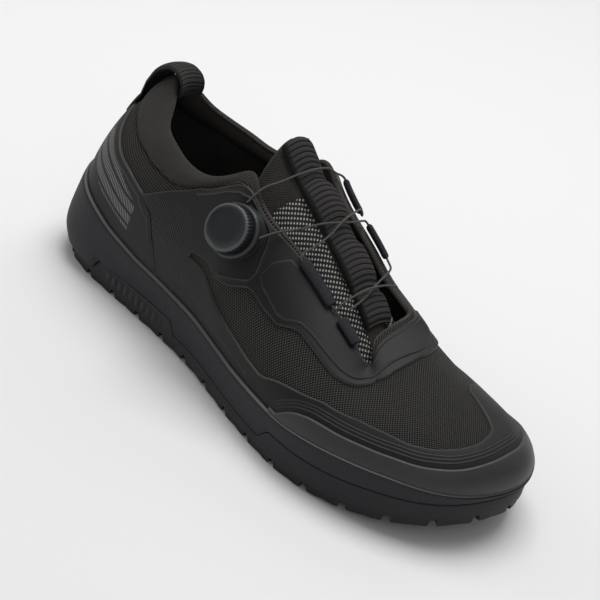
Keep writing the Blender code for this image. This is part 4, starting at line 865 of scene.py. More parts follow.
def grain_group():
    """Fine grain and slow drift: two noises at different scales, on object coordinates."""
    tree, given, out = new_group(
        "grain_and_drift",
        [("Fine", "NodeSocketFloat", 900.0), ("Slow", "NodeSocketFloat", 40.0)],
        [("Grain", "NodeSocketFloat"), ("Drift", "NodeSocketFloat")],
    )
    place = object_place(tree)
    for label, scale, detail in (("Grain", "Fine", 3.0), ("Drift", "Slow", 2.0)):
        noise = tree.nodes.new("ShaderNodeTexNoise")
        tree.links.new(place, noise.inputs["Vector"])
        tree.links.new(given.outputs[scale], noise.inputs["Scale"])
        noise.inputs["Detail"].default_value = detail
        tree.links.new(noise.outputs["Fac"], out.inputs[label])
    return tree


def thread_and_highlight_group():
    """A finish's colour, made a little lighter or darker by the drift, and mixed towards a second colour where Edge
    says so: for most finishes a painted highlight on edges, lines, ribs and thread tops; for the woven vamp and the
    tongue's open mesh their own lighter threads and eyes.
    """
    tree, given, out = new_group(
        "drift_thread_and_highlight_colour",
        [
            ("Colour", "NodeSocketColor", (0.03, 0.03, 0.03, 1.0)),
            ("Edge colour", "NodeSocketColor", (0.1, 0.1, 0.1, 1.0)),
            ("Edge", "NodeSocketFloat", 0.0),
            ("Drift", "NodeSocketFloat", 0.5),
            ("Spread", "NodeSocketFloat", 0.3),
        ],
        [("Colour", "NodeSocketColor")],
    )
    centred = math_node(tree, "MULTIPLY_ADD", given.outputs["Drift"], 2.0, -1.0)
    gain = math_node(tree, "MULTIPLY_ADD", centred, given.outputs["Spread"], 1.0)
    scaled = tree.nodes.new("ShaderNodeVectorMath")
    scaled.operation = "SCALE"
    tree.links.new(given.outputs["Colour"], scaled.inputs[0])
    tree.links.new(gain, scaled.inputs["Scale"])
    # Edge colour is mostly a painted highlight; only the vamp's and the open mesh's lighter threads are the cloth's
    # own colour.
    mixed = mix_colours(tree, given.outputs["Edge"], scaled.outputs[0], given.outputs["Edge colour"])
    tree.links.new(mixed, out.inputs["Colour"])
    return tree


def line_group():
    """A thin line: one less the square of distance over width, no lower than nothing, squared."""
    tree, given, out = new_group(
        "thin_line",
        [("Distance", "NodeSocketFloat", 0.01), ("Width", "NodeSocketFloat", 0.0006)],
        [("Mask", "NodeSocketFloat")],
    )
    ratio = math_node(tree, "DIVIDE", given.outputs["Distance"], given.outputs["Width"])
    fall = math_node(tree, "SUBTRACT", 1.0, math_node(tree, "MULTIPLY", ratio, ratio))
    kept = math_node(tree, "MAXIMUM", fall, 0.0)
    tree.links.new(math_node(tree, "MULTIPLY", kept, kept), out.inputs["Mask"])
    return tree


GROUP_MAKERS = {
    "thin_line": line_group,
    "crossed_threads": weave_group,
    "parallel_ribs": ribs_group,
    "grain_and_drift": grain_group,
    "drift_thread_and_highlight_colour": thread_and_highlight_group,
}


def place_group(tree, name, **values):
    """Puts a shared group in a material and sets or links its inputs by name, an underscore for a space."""
    node = tree.nodes.new("ShaderNodeGroup")
    node.node_tree = bpy.data.node_groups.get(name) or GROUP_MAKERS[name]()
    for key, value in values.items():
        socket = node.inputs[key.replace("_", " ")]
        if isinstance(value, bpy.types.NodeSocket):
            tree.links.new(value, socket)
        elif isinstance(value, (tuple, list)):
            socket.default_value = (*value, 1.0)
        else:
            socket.default_value = value
    return node.outputs


def attribute(tree, name):
    node = tree.nodes.new("ShaderNodeAttribute")
    node.attribute_name = name
    return node.outputs["Fac"]


def flat_place(tree):
    node = tree.nodes.new("ShaderNodeUVMap")
    node.uv_map = "flat"
    return node.outputs["UV"]


def flat_split(tree):
    """The flat place's own numbers: X along the piece and Y across it."""
    node = tree.nodes.new("ShaderNodeSeparateXYZ")
    tree.links.new(flat_place(tree), node.inputs[0])
    return node.outputs


def object_place(tree):
    return tree.nodes.new("ShaderNodeTexCoord").outputs["Object"]


def tinted(tree, ground, raised, edge, drift, spread):
    """The shared colour group: the ground's colour with the raised parts' where edge says so, the raised parts'
    colour mostly a painted highlight.
    """
    return place_group(
        tree, "drift_thread_and_highlight_colour", Colour=ground, Edge_colour=raised, Edge=edge, Drift=drift, Spread=spread
    )["Colour"]


def bump(tree, height, distance, strength=1.0, before=None):
    node = tree.nodes.new("ShaderNodeBump")
    node.inputs["Distance"].default_value = distance
    node.inputs["Strength"].default_value = strength
    tree.links.new(height, node.inputs["Height"])
    if before is not None:
        tree.links.new(before, node.inputs["Normal"])
    return node.outputs["Normal"]


def finish(name, build, roughness, specular=0.5):
    """A material: build(tree) returns the colour, the normal and, if it varies, the roughness."""
    known = bpy.data.materials.get(name)
    if known and known.get("made_here"):
        return known
    made = bpy.data.materials.new(name)
    made["made_here"] = True
    made.use_nodes = True
    tree = made.node_tree
    shader = tree.nodes["Principled BSDF"]
    shader.inputs["Roughness"].default_value = roughness
    shader.inputs["Specular IOR Level"].default_value = specular
    tint, normal, rough = build(tree)
    tree.links.new(tint, shader.inputs["Base Color"])
    tree.links.new(normal, shader.inputs["Normal"])
    if rough is not None:
        tree.links.new(rough, shader.inputs["Roughness"])
    return made


def woven(name, ground, thread, pitch, roughness, specular, *, lit=None, spread=0.3, scales=(1400.0, 60.0),
          depth=0.0005, grain=(0.0002, 0.6), place=flat_place):
    """Cloth of crossed threads: a painted highlight on their tops by their height times lit, or where lit is None
    the lighter thread's own colour in their eyes.

    scales are the noise's fine and slow scales, depth the threads' bump, and grain its bump and strength.
    """

    def build(tree):
        noise = place_group(tree, "grain_and_drift", Fine=scales[0], Slow=scales[1])
        threads = place_group(tree, "crossed_threads", Place=place(tree), Pitch=pitch)
        edge = threads["Eyes"] if lit is None else math_node(tree, "MULTIPLY", threads["Height"], lit)
        normal = bump(tree, threads["Height"], depth)
        if grain is not None:
            normal = bump(tree, noise["Grain"], *grain, normal)
        return tinted(tree, ground, thread, edge, noise["Drift"], spread), normal, None

    return finish(name, build, roughness, specular)


def knit_finish():
    # The second colour is a painted highlight on the yarn's tops.
    return woven(
        "knit_yarn", tuple(colours().knit), (0.100, 0.094, 0.084), sizes().knit_pitch, 0.88, 0.15,
        lit=0.75, spread=0.35, depth=0.0006, grain=(0.00025, 0.7),
    )


def mesh_finish():
    dark, light = tuple(colours().mesh_dark), tuple(colours().mesh_light)
    return woven("woven_vamp", dark, light, sizes().weave_pitch, 0.72, 0.20, scales=(1100.0, 45.0))


def lining_cloth(name, pitch, place):
    # The second colour is a painted highlight on the threads' tops.
    return woven(
        name, tuple(colours().lining), (0.090, 0.084, 0.078), pitch, 0.92, 0.1,
        lit=0.5, spread=0.4, scales=(1500.0, 50.0), depth=0.0003, grain=(0.0003, 0.8), place=place,
    )


def lining_finish():
    return lining_cloth("lining_weave", 0.0011, flat_place)


def footbed_finish():
    """The footbed's cloth, whose weave follows object coordinates because the footbed lies flat."""
    return lining_cloth("footbed_cloth", 0.0014, object_place)


def guide_finish():
    # The second colour is a painted highlight on the tape's threads.
    return woven(
        "guide_tape", tuple(colours().guide), (0.022, 0.0225, 0.029), 0.0008, 0.62, 0.25,
        lit=0.7, scales=(1300.0, 70.0), depth=0.0002, grain=None,
    )


def open_mesh_finish():
    """The tongue's side: dark threads round light eyes set in staggered rows."""
    return woven(
        "tongue_open_mesh", (0.020, 0.020, 0.019), tuple(colours().dots), sizes().dot_pitch * 1.25, 0.80, 0.2,
        depth=-0.0006, grain=None,
    )


def rib_finish():
    def build(tree):
        grain = place_group(tree, "grain_and_drift", Fine=1400.0, Slow=60.0)
        rise = attribute(tree, "rise")
        ribs = place_group(tree, "parallel_ribs", Distance=rise, Pitch=sizes().rib_pitch)["Height"]
        # Painted highlight on the ribs' tops over the dark ground between them.
        tint = tinted(tree, (0.0095, 0.009, 0.0085), (0.056, 0.053, 0.049), ribs, grain["Drift"], 0.3)
        return tint, bump(tree, grain["Grain"], 0.0002, 0.6, bump(tree, ribs, 0.0006)), None

    return finish("ribbed_knit", build, 0.86, 0.15)


def moulded(name, base, highlight_tint, *, roughness, fine, depth, spread, specular):
    """Foam, rubber and plastic: a fine grain, slow drift of colour and a painted highlight where the edge field
    says so, along moulded edges, beads and ribs.
    """

    def build(tree):
        grain = place_group(tree, "grain_and_drift", Fine=fine, Slow=28.0)
        # The edge field holds a painted highlight, mixing in the lighter second colour.
        edge = math_node(tree, "MULTIPLY", attribute(tree, "edge"), 0.75)
        rough = math_node(tree, "MULTIPLY_ADD", grain["Drift"], 0.18, roughness - 0.09)
        tint = tinted(tree, base, highlight_tint, edge, grain["Drift"], spread)
        return tint, bump(tree, grain["Grain"], depth, 0.8), rough

    return finish(name, build, roughness, specular)


def drawn_film(name, base, highlight_tint, roughness, specular, printed=False):
    """A moulded film: a painted highlight along its border, ridges along its drawn lines with a painted highlight
    on them, and a printed hatch or ribs.
    """

    def build(tree):
        grain = place_group(tree, "grain_and_drift", Fine=1500.0, Slow=28.0)
        rim = place_group(tree, "thin_line", Distance=attribute(tree, "border"), Width=BORDER_WIDTH)["Mask"]
        drawn = [(attribute(tree, key), RIDGE_WIDTH, 1.0) for key in ("ridge_a", "ridge_b")]
        for step, weight in STRIPES:
            past = math_node(tree, "SUBTRACT", attribute(tree, "stripes"), step)
            drawn.append((past, STRIPE_WIDTH, weight))
        ridge = 0.0
        for distance, width, weight in drawn:
            mask = place_group(tree, "thin_line", Distance=distance, Width=width)["Mask"]
            ridge = math_node(tree, "MAXIMUM", ridge, math_node(tree, "MULTIPLY", mask, weight))
        # Painted highlights: the border and the ridges take the lighter second colour.
        lit_rim, lit_ridge = math_node(tree, "MULTIPLY", rim, 0.55), math_node(tree, "MULTIPLY", ridge, 0.45)
        lit = math_node(tree, "MAXIMUM", lit_rim, lit_ridge)
        tint = tinted(tree, base, highlight_tint, lit, grain["Drift"], 0.10)
        normal = bump(tree, ridge, 0.0004)
        if printed:
            tint = mix_colours(tree, hatch_mask(tree), tint, tuple(colours().hatch))
        else:
            ribs = place_group(tree, "parallel_ribs", Distance=flat_split(tree)["X"], Pitch=0.0017)["Height"]
            shown = math_node(tree, "MULTIPLY", ribs, attribute(tree, "print"))
            normal = bump(tree, shown, 0.0003, 1.0, normal)
        rough = math_node(tree, "MULTIPLY_ADD", grain["Drift"], 0.16, roughness - 0.08)
        return tint, bump(tree, grain["Grain"], 0.0001, 0.8, normal), rough

    return finish(name, build, roughness, specular)


def hatch_mask(tree):
    """Dashes: slanted stripes cut by crosswise gaps, where the print field says so."""
    split = flat_split(tree)
    slant = math_node(tree, "MULTIPLY_ADD", split["Y"], 0.55, split["X"])
    stripe = math_node(tree, "FRACT", math_node(tree, "DIVIDE", slant, 0.0017))
    dash = math_node(tree, "FRACT", math_node(tree, "DIVIDE", split["Y"], 0.0062))
    in_stripe, in_dash = math_node(tree, "LESS_THAN", stripe, 0.48), math_node(tree, "LESS_THAN", dash, 0.74)
    on = math_node(tree, "MULTIPLY", in_stripe, in_dash)
    return math_node(tree, "MULTIPLY", on, attribute(tree, "print"))


def film_finish():
    # The second colour is the painted highlight along the border and ridges.
    return drawn_film("film_moulded", tuple(colours().film), (0.090, 0.085, 0.078), 0.56, 0.26)


def heel_film_finish():
    # The second colour is the painted highlight along the border and ridges; the hatch is print.
    return drawn_film("film_printed", tuple(colours().film), (0.090, 0.085, 0.078), 0.56, 0.26, printed=True)


def rand_finish():
    # The second colour is the painted highlight along the rand's border.
    return drawn_film("rand_smooth", tuple(colours().rand), (0.095, 0.089, 0.090), 0.50, 0.45)


def foam_finish():
    # The second colour is the painted highlight along the foam's rim and bead.
    return moulded(
        "foam_skin", tuple(colours().foam), (0.16, 0.15, 0.145),
        roughness=0.62, fine=800.0, depth=0.00045, spread=0.15, specular=0.25,
    )


def rubber_finish():
    # The second colour is the painted highlight along the wrap's top and the heel ribs.
    return moulded(
        "outsole_moulded", tuple(colours().rubber), (0.055, 0.052, 0.058),
        roughness=0.60, fine=900.0, depth=0.0002, spread=0.15, specular=0.30,
    )


def plastic_finish():
    # The second colour is the painted highlight along the dial's rims and the knob's top edge.
    return moulded(
        "dial_moulded", tuple(colours().plastic), (0.12, 0.125, 0.13),
        roughness=0.40, fine=1600.0, depth=0.00004, spread=0.08, specular=0.40,
    )


def tape_finish():
    """Webbing: the strap's own ribs, each of a few fine threads, with a painted highlight on the ribs from the edge
    field.
    """

    def build(tree):
        grain = place_group(tree, "grain_and_drift", Fine=1300.0, Slow=70.0)
        threads = place_group(tree, "parallel_ribs", Distance=flat_split(tree)["X"], Pitch=0.00075)["Height"]
        fine = math_node(tree, "MULTIPLY_ADD", threads, 0.6, 0.4)
        # The edge field is the strap's painted highlight on its ribs.
        edge = math_node(tree, "MULTIPLY", attribute(tree, "edge"), fine)
        tint = tinted(tree, (0.0085, 0.0082, 0.0085), tuple(colours().tape), edge, grain["Drift"], 0.3)
        return tint, bump(tree, grain["Grain"], 0.0002, 0.8, bump(tree, threads, 0.0002)), None

    return finish("tape_ribbed", build, 0.80, 0.15)


def cord_finish():
    def build(tree):
        split = flat_split(tree)
        spiral = math_node(tree, "MULTIPLY_ADD", split["Y"], 0.7, split["X"])
        strands = place_group(tree, "parallel_ribs", Distance=spiral, Pitch=0.0011)["Height"]
        # The strands' tops get a painted glint; between them the lace keeps its own dark colour.
        tint = mix_colours(tree, strands, (0.030, 0.029, 0.028), tuple(colours().lace_glint))
        return tint, bump(tree, strands, 0.00025), None

    return finish("lace_twist", build, 0.55, 0.3)


def face_finish():
    def build(tree):
        grain = place_group(tree, "grain_and_drift", Fine=2200.0, Slow=50.0)
        tint = mix_colours(tree, grain["Drift"], (0.0125, 0.0140, 0.0165), (0.0170, 0.0185, 0.0210))
        return tint, bump(tree, grain["Grain"], 0.00006, 0.8), None

    return finish("dial_face", build, 0.50, 0.30)


def floor_finish():
    def build(tree):
        grain = place_group(tree, "grain_and_drift", Fine=400.0, Slow=3.0)
        tint = tinted(tree, tuple(colours().floor), (0.8, 0.8, 0.8), 0.0, grain["Drift"], 0.004)
        return tint, bump(tree, grain["Grain"], 0.00001, 0.2), None

    return finish("floor_paper", build, 0.9)


def collar_band(a, t):
    """The padded band's seam, how far a point is from there (0) to the rim (1), and how strong the pad is."""
    station = station_of(a)
    stations, shares = zip(*COLLAR_SEAM)
    seam = np.interp(station, stations, shares)
    through = np.clip((t - seam) / (1 - seam), 0, 1)
    strength = 1 - smooth((station - 0.34) / 0.10)
    return seam, through, strength


def make_upper():
    """The hollow knit upper: rows run up the outside, over a rounded rim and down the lining.

    The padded collar adds a half sine of thickness on both sides between its seam and the rim.
    """
    count = 720
    a = np.linspace(0, 2 * math.pi, count, endpoint=False)
    outer_share = np.concatenate([np.linspace(0, 0.30, 9)[:-1], np.linspace(0.30, 1.0, 62)])
    inner_share = np.concatenate([np.linspace(1.0, 0.5, 24), np.linspace(0.5, 0.0, 14)[1:]])
    pad = sizes().collar_pad

    def side(shares, inward):
        angle, share = np.meshgrid(a, shares)
        seam, through, strength = collar_band(angle, share)
        swell = pad * strength * np.sin(np.pi * through) ** 0.8
        dent = SEAM_DENT * strength * np.exp(-(((share - seam) / SEAM_HALF) ** 2))
        out = -UPPER_WALL - LINING_SWELL * swell if inward else swell - dent
        return angle, share, upper_offset(angle, share, out)

    oa, ot, outside = side(outer_share, False)
    ia, it, inside = side(inner_share, True)
    inside[-1, :, 2] = outside[0, :, 2]
    ends = outside[-1], inside[0]
    centre, half = (ends[0] + ends[1]) / 2, (ends[0] - ends[1]) / 2
    rising = unit(outside[-1] - outside[-2]) * np.linalg.norm(half, axis=-1, keepdims=True)
    arc = [centre + half * math.cos(p) + rising * math.sin(p) for p in np.linspace(0, math.pi, 9)[1:-1]]
    grid = np.vstack([outside, np.array(arc), inside])
    rows = len(grid)
    faces = grid_quads(rows, count, wrap_rows=True, wrap_columns=True)
    share_rows = np.concatenate([outer_share, np.ones(len(arc)), inner_share])
    angle, share = np.meshgrid(a, share_rows)
    run = run_along(grid)
    rise = run[len(outer_share) - 1] - run
    flat = np.stack([grid[..., 0], 0.045 * np.arctan2(grid[..., 1], grid[..., 2] - 0.010)], axis=-1)
    station = station_of(angle)
    seam = collar_band(angle, share)[0]
    inner_row = np.arange(rows)[:, None] >= len(outer_share) + len(arc) // 2
    woven = (station > 0.47) | ((station > 0.33) & (share < 0.62))
    pick = np.where(woven, 2, np.where(share > seam - 0.004, 0, 1))
    front_rim = (np.arange(rows)[:, None] >= len(outer_share) - 1) & (station > 0.47)
    pick = np.where(inner_row | front_rim, 3, pick)
    finishes = [knit_finish(), rib_finish(), mesh_finish(), lining_finish()]
    obj = add_mesh(
        "upper_knit", grid.reshape(-1, 3), faces, finishes, flat.reshape(-1, 2), {"rise": rise}, pick.ravel()
    )
    return finish_piece(obj, "knit_mesh", "upper")


def rim_line(angles):
    return rim_share(angles) + 0.3 * OVERLAY_CLEAR


def make_heel_panel():
    """The film round the heel, from one front end to the other, with a printed hatch on its lateral side."""
    front = angle_of(0.312, LATERAL)
    lateral = even_columns(0.004, front, 210, 0.4)
    columns = np.concatenate([-lateral[::-1], [0.0], lateral])
    low = rim_line(columns)
    high = np.maximum(line_on_upper(HEEL_TOP, np.abs(columns)), low + 0.012)

    def print_mask(a, t):
        station = station_of(a)
        top = np.interp(station, [0.03, 0.12, 0.21], [0.600, 0.565, 0.465])
        bottom = np.interp(station, [0.03, 0.12, 0.21], [0.430, 0.325, 0.255])
        inside = (a > 0) & (station > 0.022) & (station < 0.212) & (t < top) & (t > bottom)
        return inside.astype(float)

    inner = np.linspace(-front * 0.93, front * 0.93, 500)
    inset = np.stack([inner, line_on_upper(HEEL_TOP, np.abs(inner)) - 0.045], axis=-1)
    obj = panel(
        "heel_film", heel_film_finish(), columns, low, high, sizes().film_lift, 52,
        ridges=[beside(inset, False)], print_mask=print_mask,
    )
    return finish_piece(obj, "moulded_film", "heel_panel")


def make_eyestay():
    """The film from the quarter round the throat: a raised plateau in front of the dial and a bead round it.

    The plateau rises by a smooth step of the signed distance to its outline; the bead is a bell of its own.
    """
    columns = even_columns(angle_of(0.214, LATERAL), angle_of(0.214, MEDIAL), 1000, 0.75)
    low = np.maximum(line_on_upper(EYESTAY_LOW, columns), rim_line(columns))
    high = np.maximum(line_on_upper(EYESTAY_TOP, columns), low + 0.012)
    outline = path_on_upper(PLATEAU + PLATEAU[:1])
    bead = path_on_upper(DIAL_BEAD)
    to_plateau, to_bead = beside(outline, True), beside(bead, True)

    def relief(a, t, points):
        height = PLATEAU_RISE * smooth((to_plateau(a, t, points) + PLATEAU_LEAD) / PLATEAU_STEP)
        return height + BEAD_RISE * np.exp(-((to_bead(a, t, points) / BEAD_HALF) ** 2))

    def ribbed(a, t):
        station = station_of(a)
        return smooth((station - 0.225) / 0.01) * smooth((0.375 - station) / 0.02) * (t > 0.42)

    obj = panel(
        "eyestay_film", film_finish(), columns, low, high, sizes().film_lift, 84,
        ridges=[to_plateau, to_bead], stripes=[beside(path_on_upper(QUARTER_LINE), False)],
        relief=relief, print_mask=ribbed,
    )
    return finish_piece(obj, "moulded_film", "eyestay")


def rand_high(angles):
    return np.maximum(line_on_upper(RAND_TOP, angles, 0.05), rim_line(angles) + 0.03)


def make_rand_film():
    """The film between the woven vamp and the rand, with fine lines that run along the rand's top edge."""
    columns = even_columns(angle_of(0.330, LATERAL), angle_of(0.330, MEDIAL), 900, 0.35)
    low = rim_line(columns)
    high = np.maximum(line_on_upper(MESH_LOW, columns, 0.02), low + 0.012)
    along = np.linspace(RAND_ENDS[0] + 0.04, RAND_ENDS[1] - 0.04, 900)
    top = line_on_upper(RAND_TOP, along, 0.05)
    quarter = beside(path_on_upper(QUARTER_LINE), False)
    above_rand = beside(np.stack([along, top + 0.040], axis=-1), False)
    obj = panel(
        "rand_film_moulded", film_finish(), columns, low, high, sizes().film_lift * 0.9, 44,
        ridges=[quarter], stripes=[above_rand],
    )
    return finish_piece(obj, "moulded_film", "rand_film")


def make_toe_rand():
    """The rubber rand round the toe, thinning to a narrow tail at both ends."""
    columns = even_columns(*RAND_ENDS, 420, 0.2)
    low, high = rim_line(columns), rand_high(columns)
    obj = panel("toe_rand_rubber", rand_finish(), columns, low, high, sizes().rand_lift + 0.0006, 26)
    return finish_piece(obj, "rand_rubber", "toe_rand")


def ring_at(angles, inset, height):
    plan = outline_point(angles, inset)
    return np.concatenate([plan, np.broadcast_to(height, angles.shape)[:, None]], axis=-1)


def wrap_top(angles):
    """Height above the tread of the outsole's side: a strip, with raised walls at forefoot and heel."""
    station = station_of(angles)
    heel = smooth((station - 0.145) / 0.018) * smooth((0.385 - station) / 0.022)
    forefoot = smooth((station - 0.655) / 0.03)
    raised = np.maximum(heel * 0.86, forefoot * (1 - 0.45 * smooth((station - 0.86) / 0.14)))
    return STRIP_HEIGHT + (WRAP_HEIGHT - STRIP_HEIGHT) * raised


def medial_share(angles):
    return np.clip(OUTLINE_SHARE(angles) + 0.5, 0, 1)


def even_ring(count):
    """Angles round the outline, evenly spaced along it, the same on both sides."""
    fine = np.linspace(0, math.pi, 1200)
    plan = outline_point(fine)
    run = run_along(plan)
    half = np.interp(np.linspace(0, run[-1], count // 2 + 1), run, fine)
    return np.concatenate([half, 2 * math.pi - half[-2:0:-1]])


def centre_cap(ring):
    """The ring drawn in to its centre line: each point and its partner on the other side meet half way."""
    partner = np.concatenate([ring[:1], ring[:0:-1]])
    return (ring + partner) / 2


def ring_solid(name, rings, finish_used, edge=None):
    """A solid from stacked rings, closed at both ends by strips to its centre line."""
    count = len(rings[0])
    half = count // 2
    grid = np.array(rings)
    rows = len(grid)
    faces = grid_quads(rows, count, wrap_columns=True)
    extra = []
    for ring, flip in ((0, True), (rows - 1, False)):
        start = rows * count + len(extra)
        middle = centre_cap(grid[ring])[1:half]
        extra.extend(middle)
        base = ring * count
        cap = [
            [base, base + 1, start, base + count - 1],
            [base + half - 1, base + half, base + half + 1, start + half - 2],
        ]
        for i in range(1, half - 1):
            one, two = start + i - 1, start + i
            cap += [[base + i, base + i + 1, two, one], [one, two, base + count - i - 1, base + count - i]]
        faces += [face[::-1] for face in cap] if flip else cap
    points = np.concatenate([grid.reshape(-1, 3), np.array(extra)])
    # The edge field is a painted highlight on each ring, read by the moulded finishes.
    light = np.zeros(len(points))
    if edge is not None:
        light[:rows * count] = edge.ravel()
    return add_mesh(name, points, faces, [finish_used], None, {"edge": light}, sharp=50)


def rounded_profile(keys, steps):
    """Rings between key rings on a Catmull-Rom curve through them."""
    return list(through(keys, np.arange((len(keys) - 1) * steps + 1) / steps))


def make_midsole():
    """The foam cup: rings go under it, out over the outsole's wrap, up to a beaded rim, and inside."""
    angles = even_ring(720)
    station = station_of(angles)
    floor = ground(station, medial_share(angles))
    base = floor + LUG_DEPTH + OUTSOLE_SLAB + GAP
    wrap = floor + wrap_top(angles)
    top = sidewall_top(station)
    share = rim_share(angles)
    rim_outer = upper_offset(angles, share, GAP + RIM_WALL)
    rim_inner = upper_offset(angles, share, GAP)
    flare = HEEL_FLARE * smooth((0.30 - station) / 0.27) + TOE_FLARE * smooth((station - 0.55) / 0.30)
    outward = np.concatenate([outline_normal(angles), np.zeros((len(angles), 1))], axis=-1)
    step = ring_at(angles, 0.0006 - 0.7 * flare, wrap + 2 * GAP)
    tuck = ring_at(angles, 0.0016 - 0.7 * flare, wrap + GAP)
    bulge = ring_at(angles, -flare, wrap + 0.30 * (top - wrap))
    shoulder = rim_outer + outward * 0.0007
    shoulder[:, :2] += 0.16 * (bulge - rim_outer)[:, :2]
    shoulder[:, 2] -= 0.12 * (top - wrap)
    side = rounded_profile([step, bulge, shoulder, rim_outer], 7)
    rim = [
        rim_outer + outward * 0.0002 + [0, 0, 0.0004],
        rim_outer * 0.8 + rim_inner * 0.2 + [0, 0, 0.0009],
        rim_outer * 0.4 + rim_inner * 0.6 + [0, 0, 0.0010],
    ]
    recess = WRAP_WALL + GAP
    inside = upper_offset(angles, share / 2, GAP)
    rings = [ring_at(angles, recess + 0.0012, base), ring_at(angles, recess, base + 0.0008)]
    rings += [ring_at(angles, recess, wrap + GAP), tuck] + side + rim
    rings += [rim_inner, inside, ring_at(angles, FOOT_INSET - GAP, footbed(station))]
    # Painted highlight along the rim's bead, fainter along the step above the outsole's wrap.
    light = np.zeros((len(rings), len(angles)))
    first_rim = 4 + len(side)
    light[first_rim - 1] = 0.35
    light[first_rim] = 1.0
    light[first_rim + 1] = 1.0
    light[4] = 0.25
    obj = ring_solid("midsole_cup", rings, foam_finish(), light)
    return finish_piece(obj, "midsole_foam", "midsole")


def tread_block(corners, points, faces):
    """Adds one tread block: straight sides, a chamfer and a drawn-in lower face."""
    corners = np.asarray(corners, float)
    away = corners - corners.mean(axis=0)
    reach = np.linalg.norm(away, axis=1, keepdims=True)
    start = len(points)
    count = len(corners)
    for inset, height in ((0.0, LUG_DEPTH + LUG_SINK), (0.5 * LUG_DRAFT, 0.0007), (LUG_DRAFT + 0.0004, 0.0)):
        plan = corners - away * inset / reach
        station = np.clip(plan[:, 0] / LENGTH, 0, 1)
        share = np.clip(plan[:, 1] / local_width(station) + 0.5, 0, 1)
        points.extend(np.column_stack([plan, ground(station, share) + height]))
    faces.append([start + i for i in range(count)][::-1])
    faces.append([start + 2 * count + i for i in range(count)])
    for level in range(2):
        for i in range(count):
            j = (i + 1) % count
            low = start + level * count
            faces.append([low + i, low + j, low + count + j, low + count + i])


def tread_blocks():
    """Corners of every tread block: a row round the edge, and six-sided ones in staggered rows inside it."""
    angles = np.linspace(0, 2 * math.pi, 721)
    plan = outline_point(angles)
    run = run_along(plan)
    count = round(run[-1] / (EDGE_LUG_LENGTH + LUG_GROOVE))
    pitch = run[-1] / count
    blocks = []
    for i in range(count):
        middle = (i + 0.5) * pitch
        reach = (pitch - LUG_GROOVE) / 2
        at = np.interp(np.linspace(middle - reach, middle + reach, 7), run, angles)
        outer = outline_point(at, EDGE_LUG_INSET)
        inner = outline_point(at[[0, -1]], EDGE_LUG_INSET + EDGE_LUG_WIDTH)
        first = inner[0] * 0.88 + inner[1] * 0.12
        last = inner[1] * 0.88 + inner[0] * 0.12
        blocks.append([*outer, last, first])
    pitch_x = LUG_RADIUS * math.sqrt(3) + LUG_GROOVE
    pitch_y = 1.5 * LUG_RADIUS + LUG_GROOVE * 0.87
    clear = EDGE_LUG_INSET + EDGE_LUG_WIDTH + LUG_GROOVE * 0.7 + LUG_RADIUS
    row_count = int(BALL_WIDTH / pitch_y / 2) + 1
    turns = np.radians(30 + 60 * np.arange(6))
    for row in range(-row_count, row_count + 1):
        for column in range(int(LENGTH / pitch_x) + 1):
            x = (column + 0.5 * (row % 2)) * pitch_x
            y = row * pitch_y
            station = x / LENGTH
            if not 0.06 < station < 0.95:
                continue
            lateral = outline_point(np.array([angle_of(station, LATERAL)]))[0, 1]
            medial = outline_point(np.array([angle_of(station, MEDIAL)]))[0, 1]
            near_end = 1.0 if 0.10 < station < 0.88 else 1.25
            if min(y - lateral, medial - y) < clear * near_end:
                continue
            blocks.append(np.column_stack([x + LUG_RADIUS * np.cos(turns), y + LUG_RADIUS * np.sin(turns)]))
    return blocks


def make_outsole():
    """The rubber sole: a slab with a side strip, raised panels at heel and forefoot, and blocks under it.

    The ribs on the heel's panel are a raised sine along it, faded at the panel's ends.
    """
    angles = even_ring(900)
    station = station_of(angles)
    floor = ground(station, medial_share(angles))
    low = floor + LUG_DEPTH
    wrap = floor + wrap_top(angles)
    plan = outline_point(angles)
    run = run_along(plan)
    at_heel = smooth((station - 0.175) / 0.012) * smooth((0.350 - station) / 0.012)
    ribs = SIDE_RIB_DEPTH * at_heel * smooth(0.5 + 1.1 * np.sin(2 * math.pi * run / SIDE_RIB_PITCH))
    panel_step = SIDE_PANEL_RISE * smooth((wrap - floor - STRIP_HEIGHT) / 0.0015)
    height = wrap - low
    profile = [
        (0.0012, low), (0.0003, low + 0.0003), (0.0, low + 0.0010), (0.0, low + 0.30 * height),
        (-ribs, low + 0.36 * height), (-ribs - 0.3 * panel_step, low + 0.60 * height),
        (-ribs, low + 0.78 * height), (0.0, low + 0.86 * height), (0.0, wrap - 0.0008),
        (0.0003, wrap - 0.0002), (0.0009, wrap), (WRAP_WALL, wrap - 0.0003),
        (WRAP_WALL, low + OUTSOLE_SLAB + 0.0012), (WRAP_WALL + 0.0012, low + OUTSOLE_SLAB),
    ]
    rings = [ring_at(angles, inset, z) for inset, z in profile]
    # Painted highlight along the wrap's rounded top and on the heel panel's ribs.
    light = np.zeros((len(rings), len(angles)))
    light[8:11] = [[0.2], [0.8], [0.5]]
    light[4:7] += 0.5 * (ribs / SIDE_RIB_DEPTH)
    slab = ring_solid("outsole_slab", rings, rubber_finish(), light)
    finish_piece(slab, "outsole_rubber", "outsole")
    points, faces = [], []
    for corners in tread_blocks():
        tread_block(corners, points, faces)
    plain = {"edge": np.zeros(len(points))}
    tread = add_mesh("outsole_tread", points, faces, [rubber_finish()], fields=plain, sharp=30)
    finish_piece(tread, "outsole_rubber", "outsole")


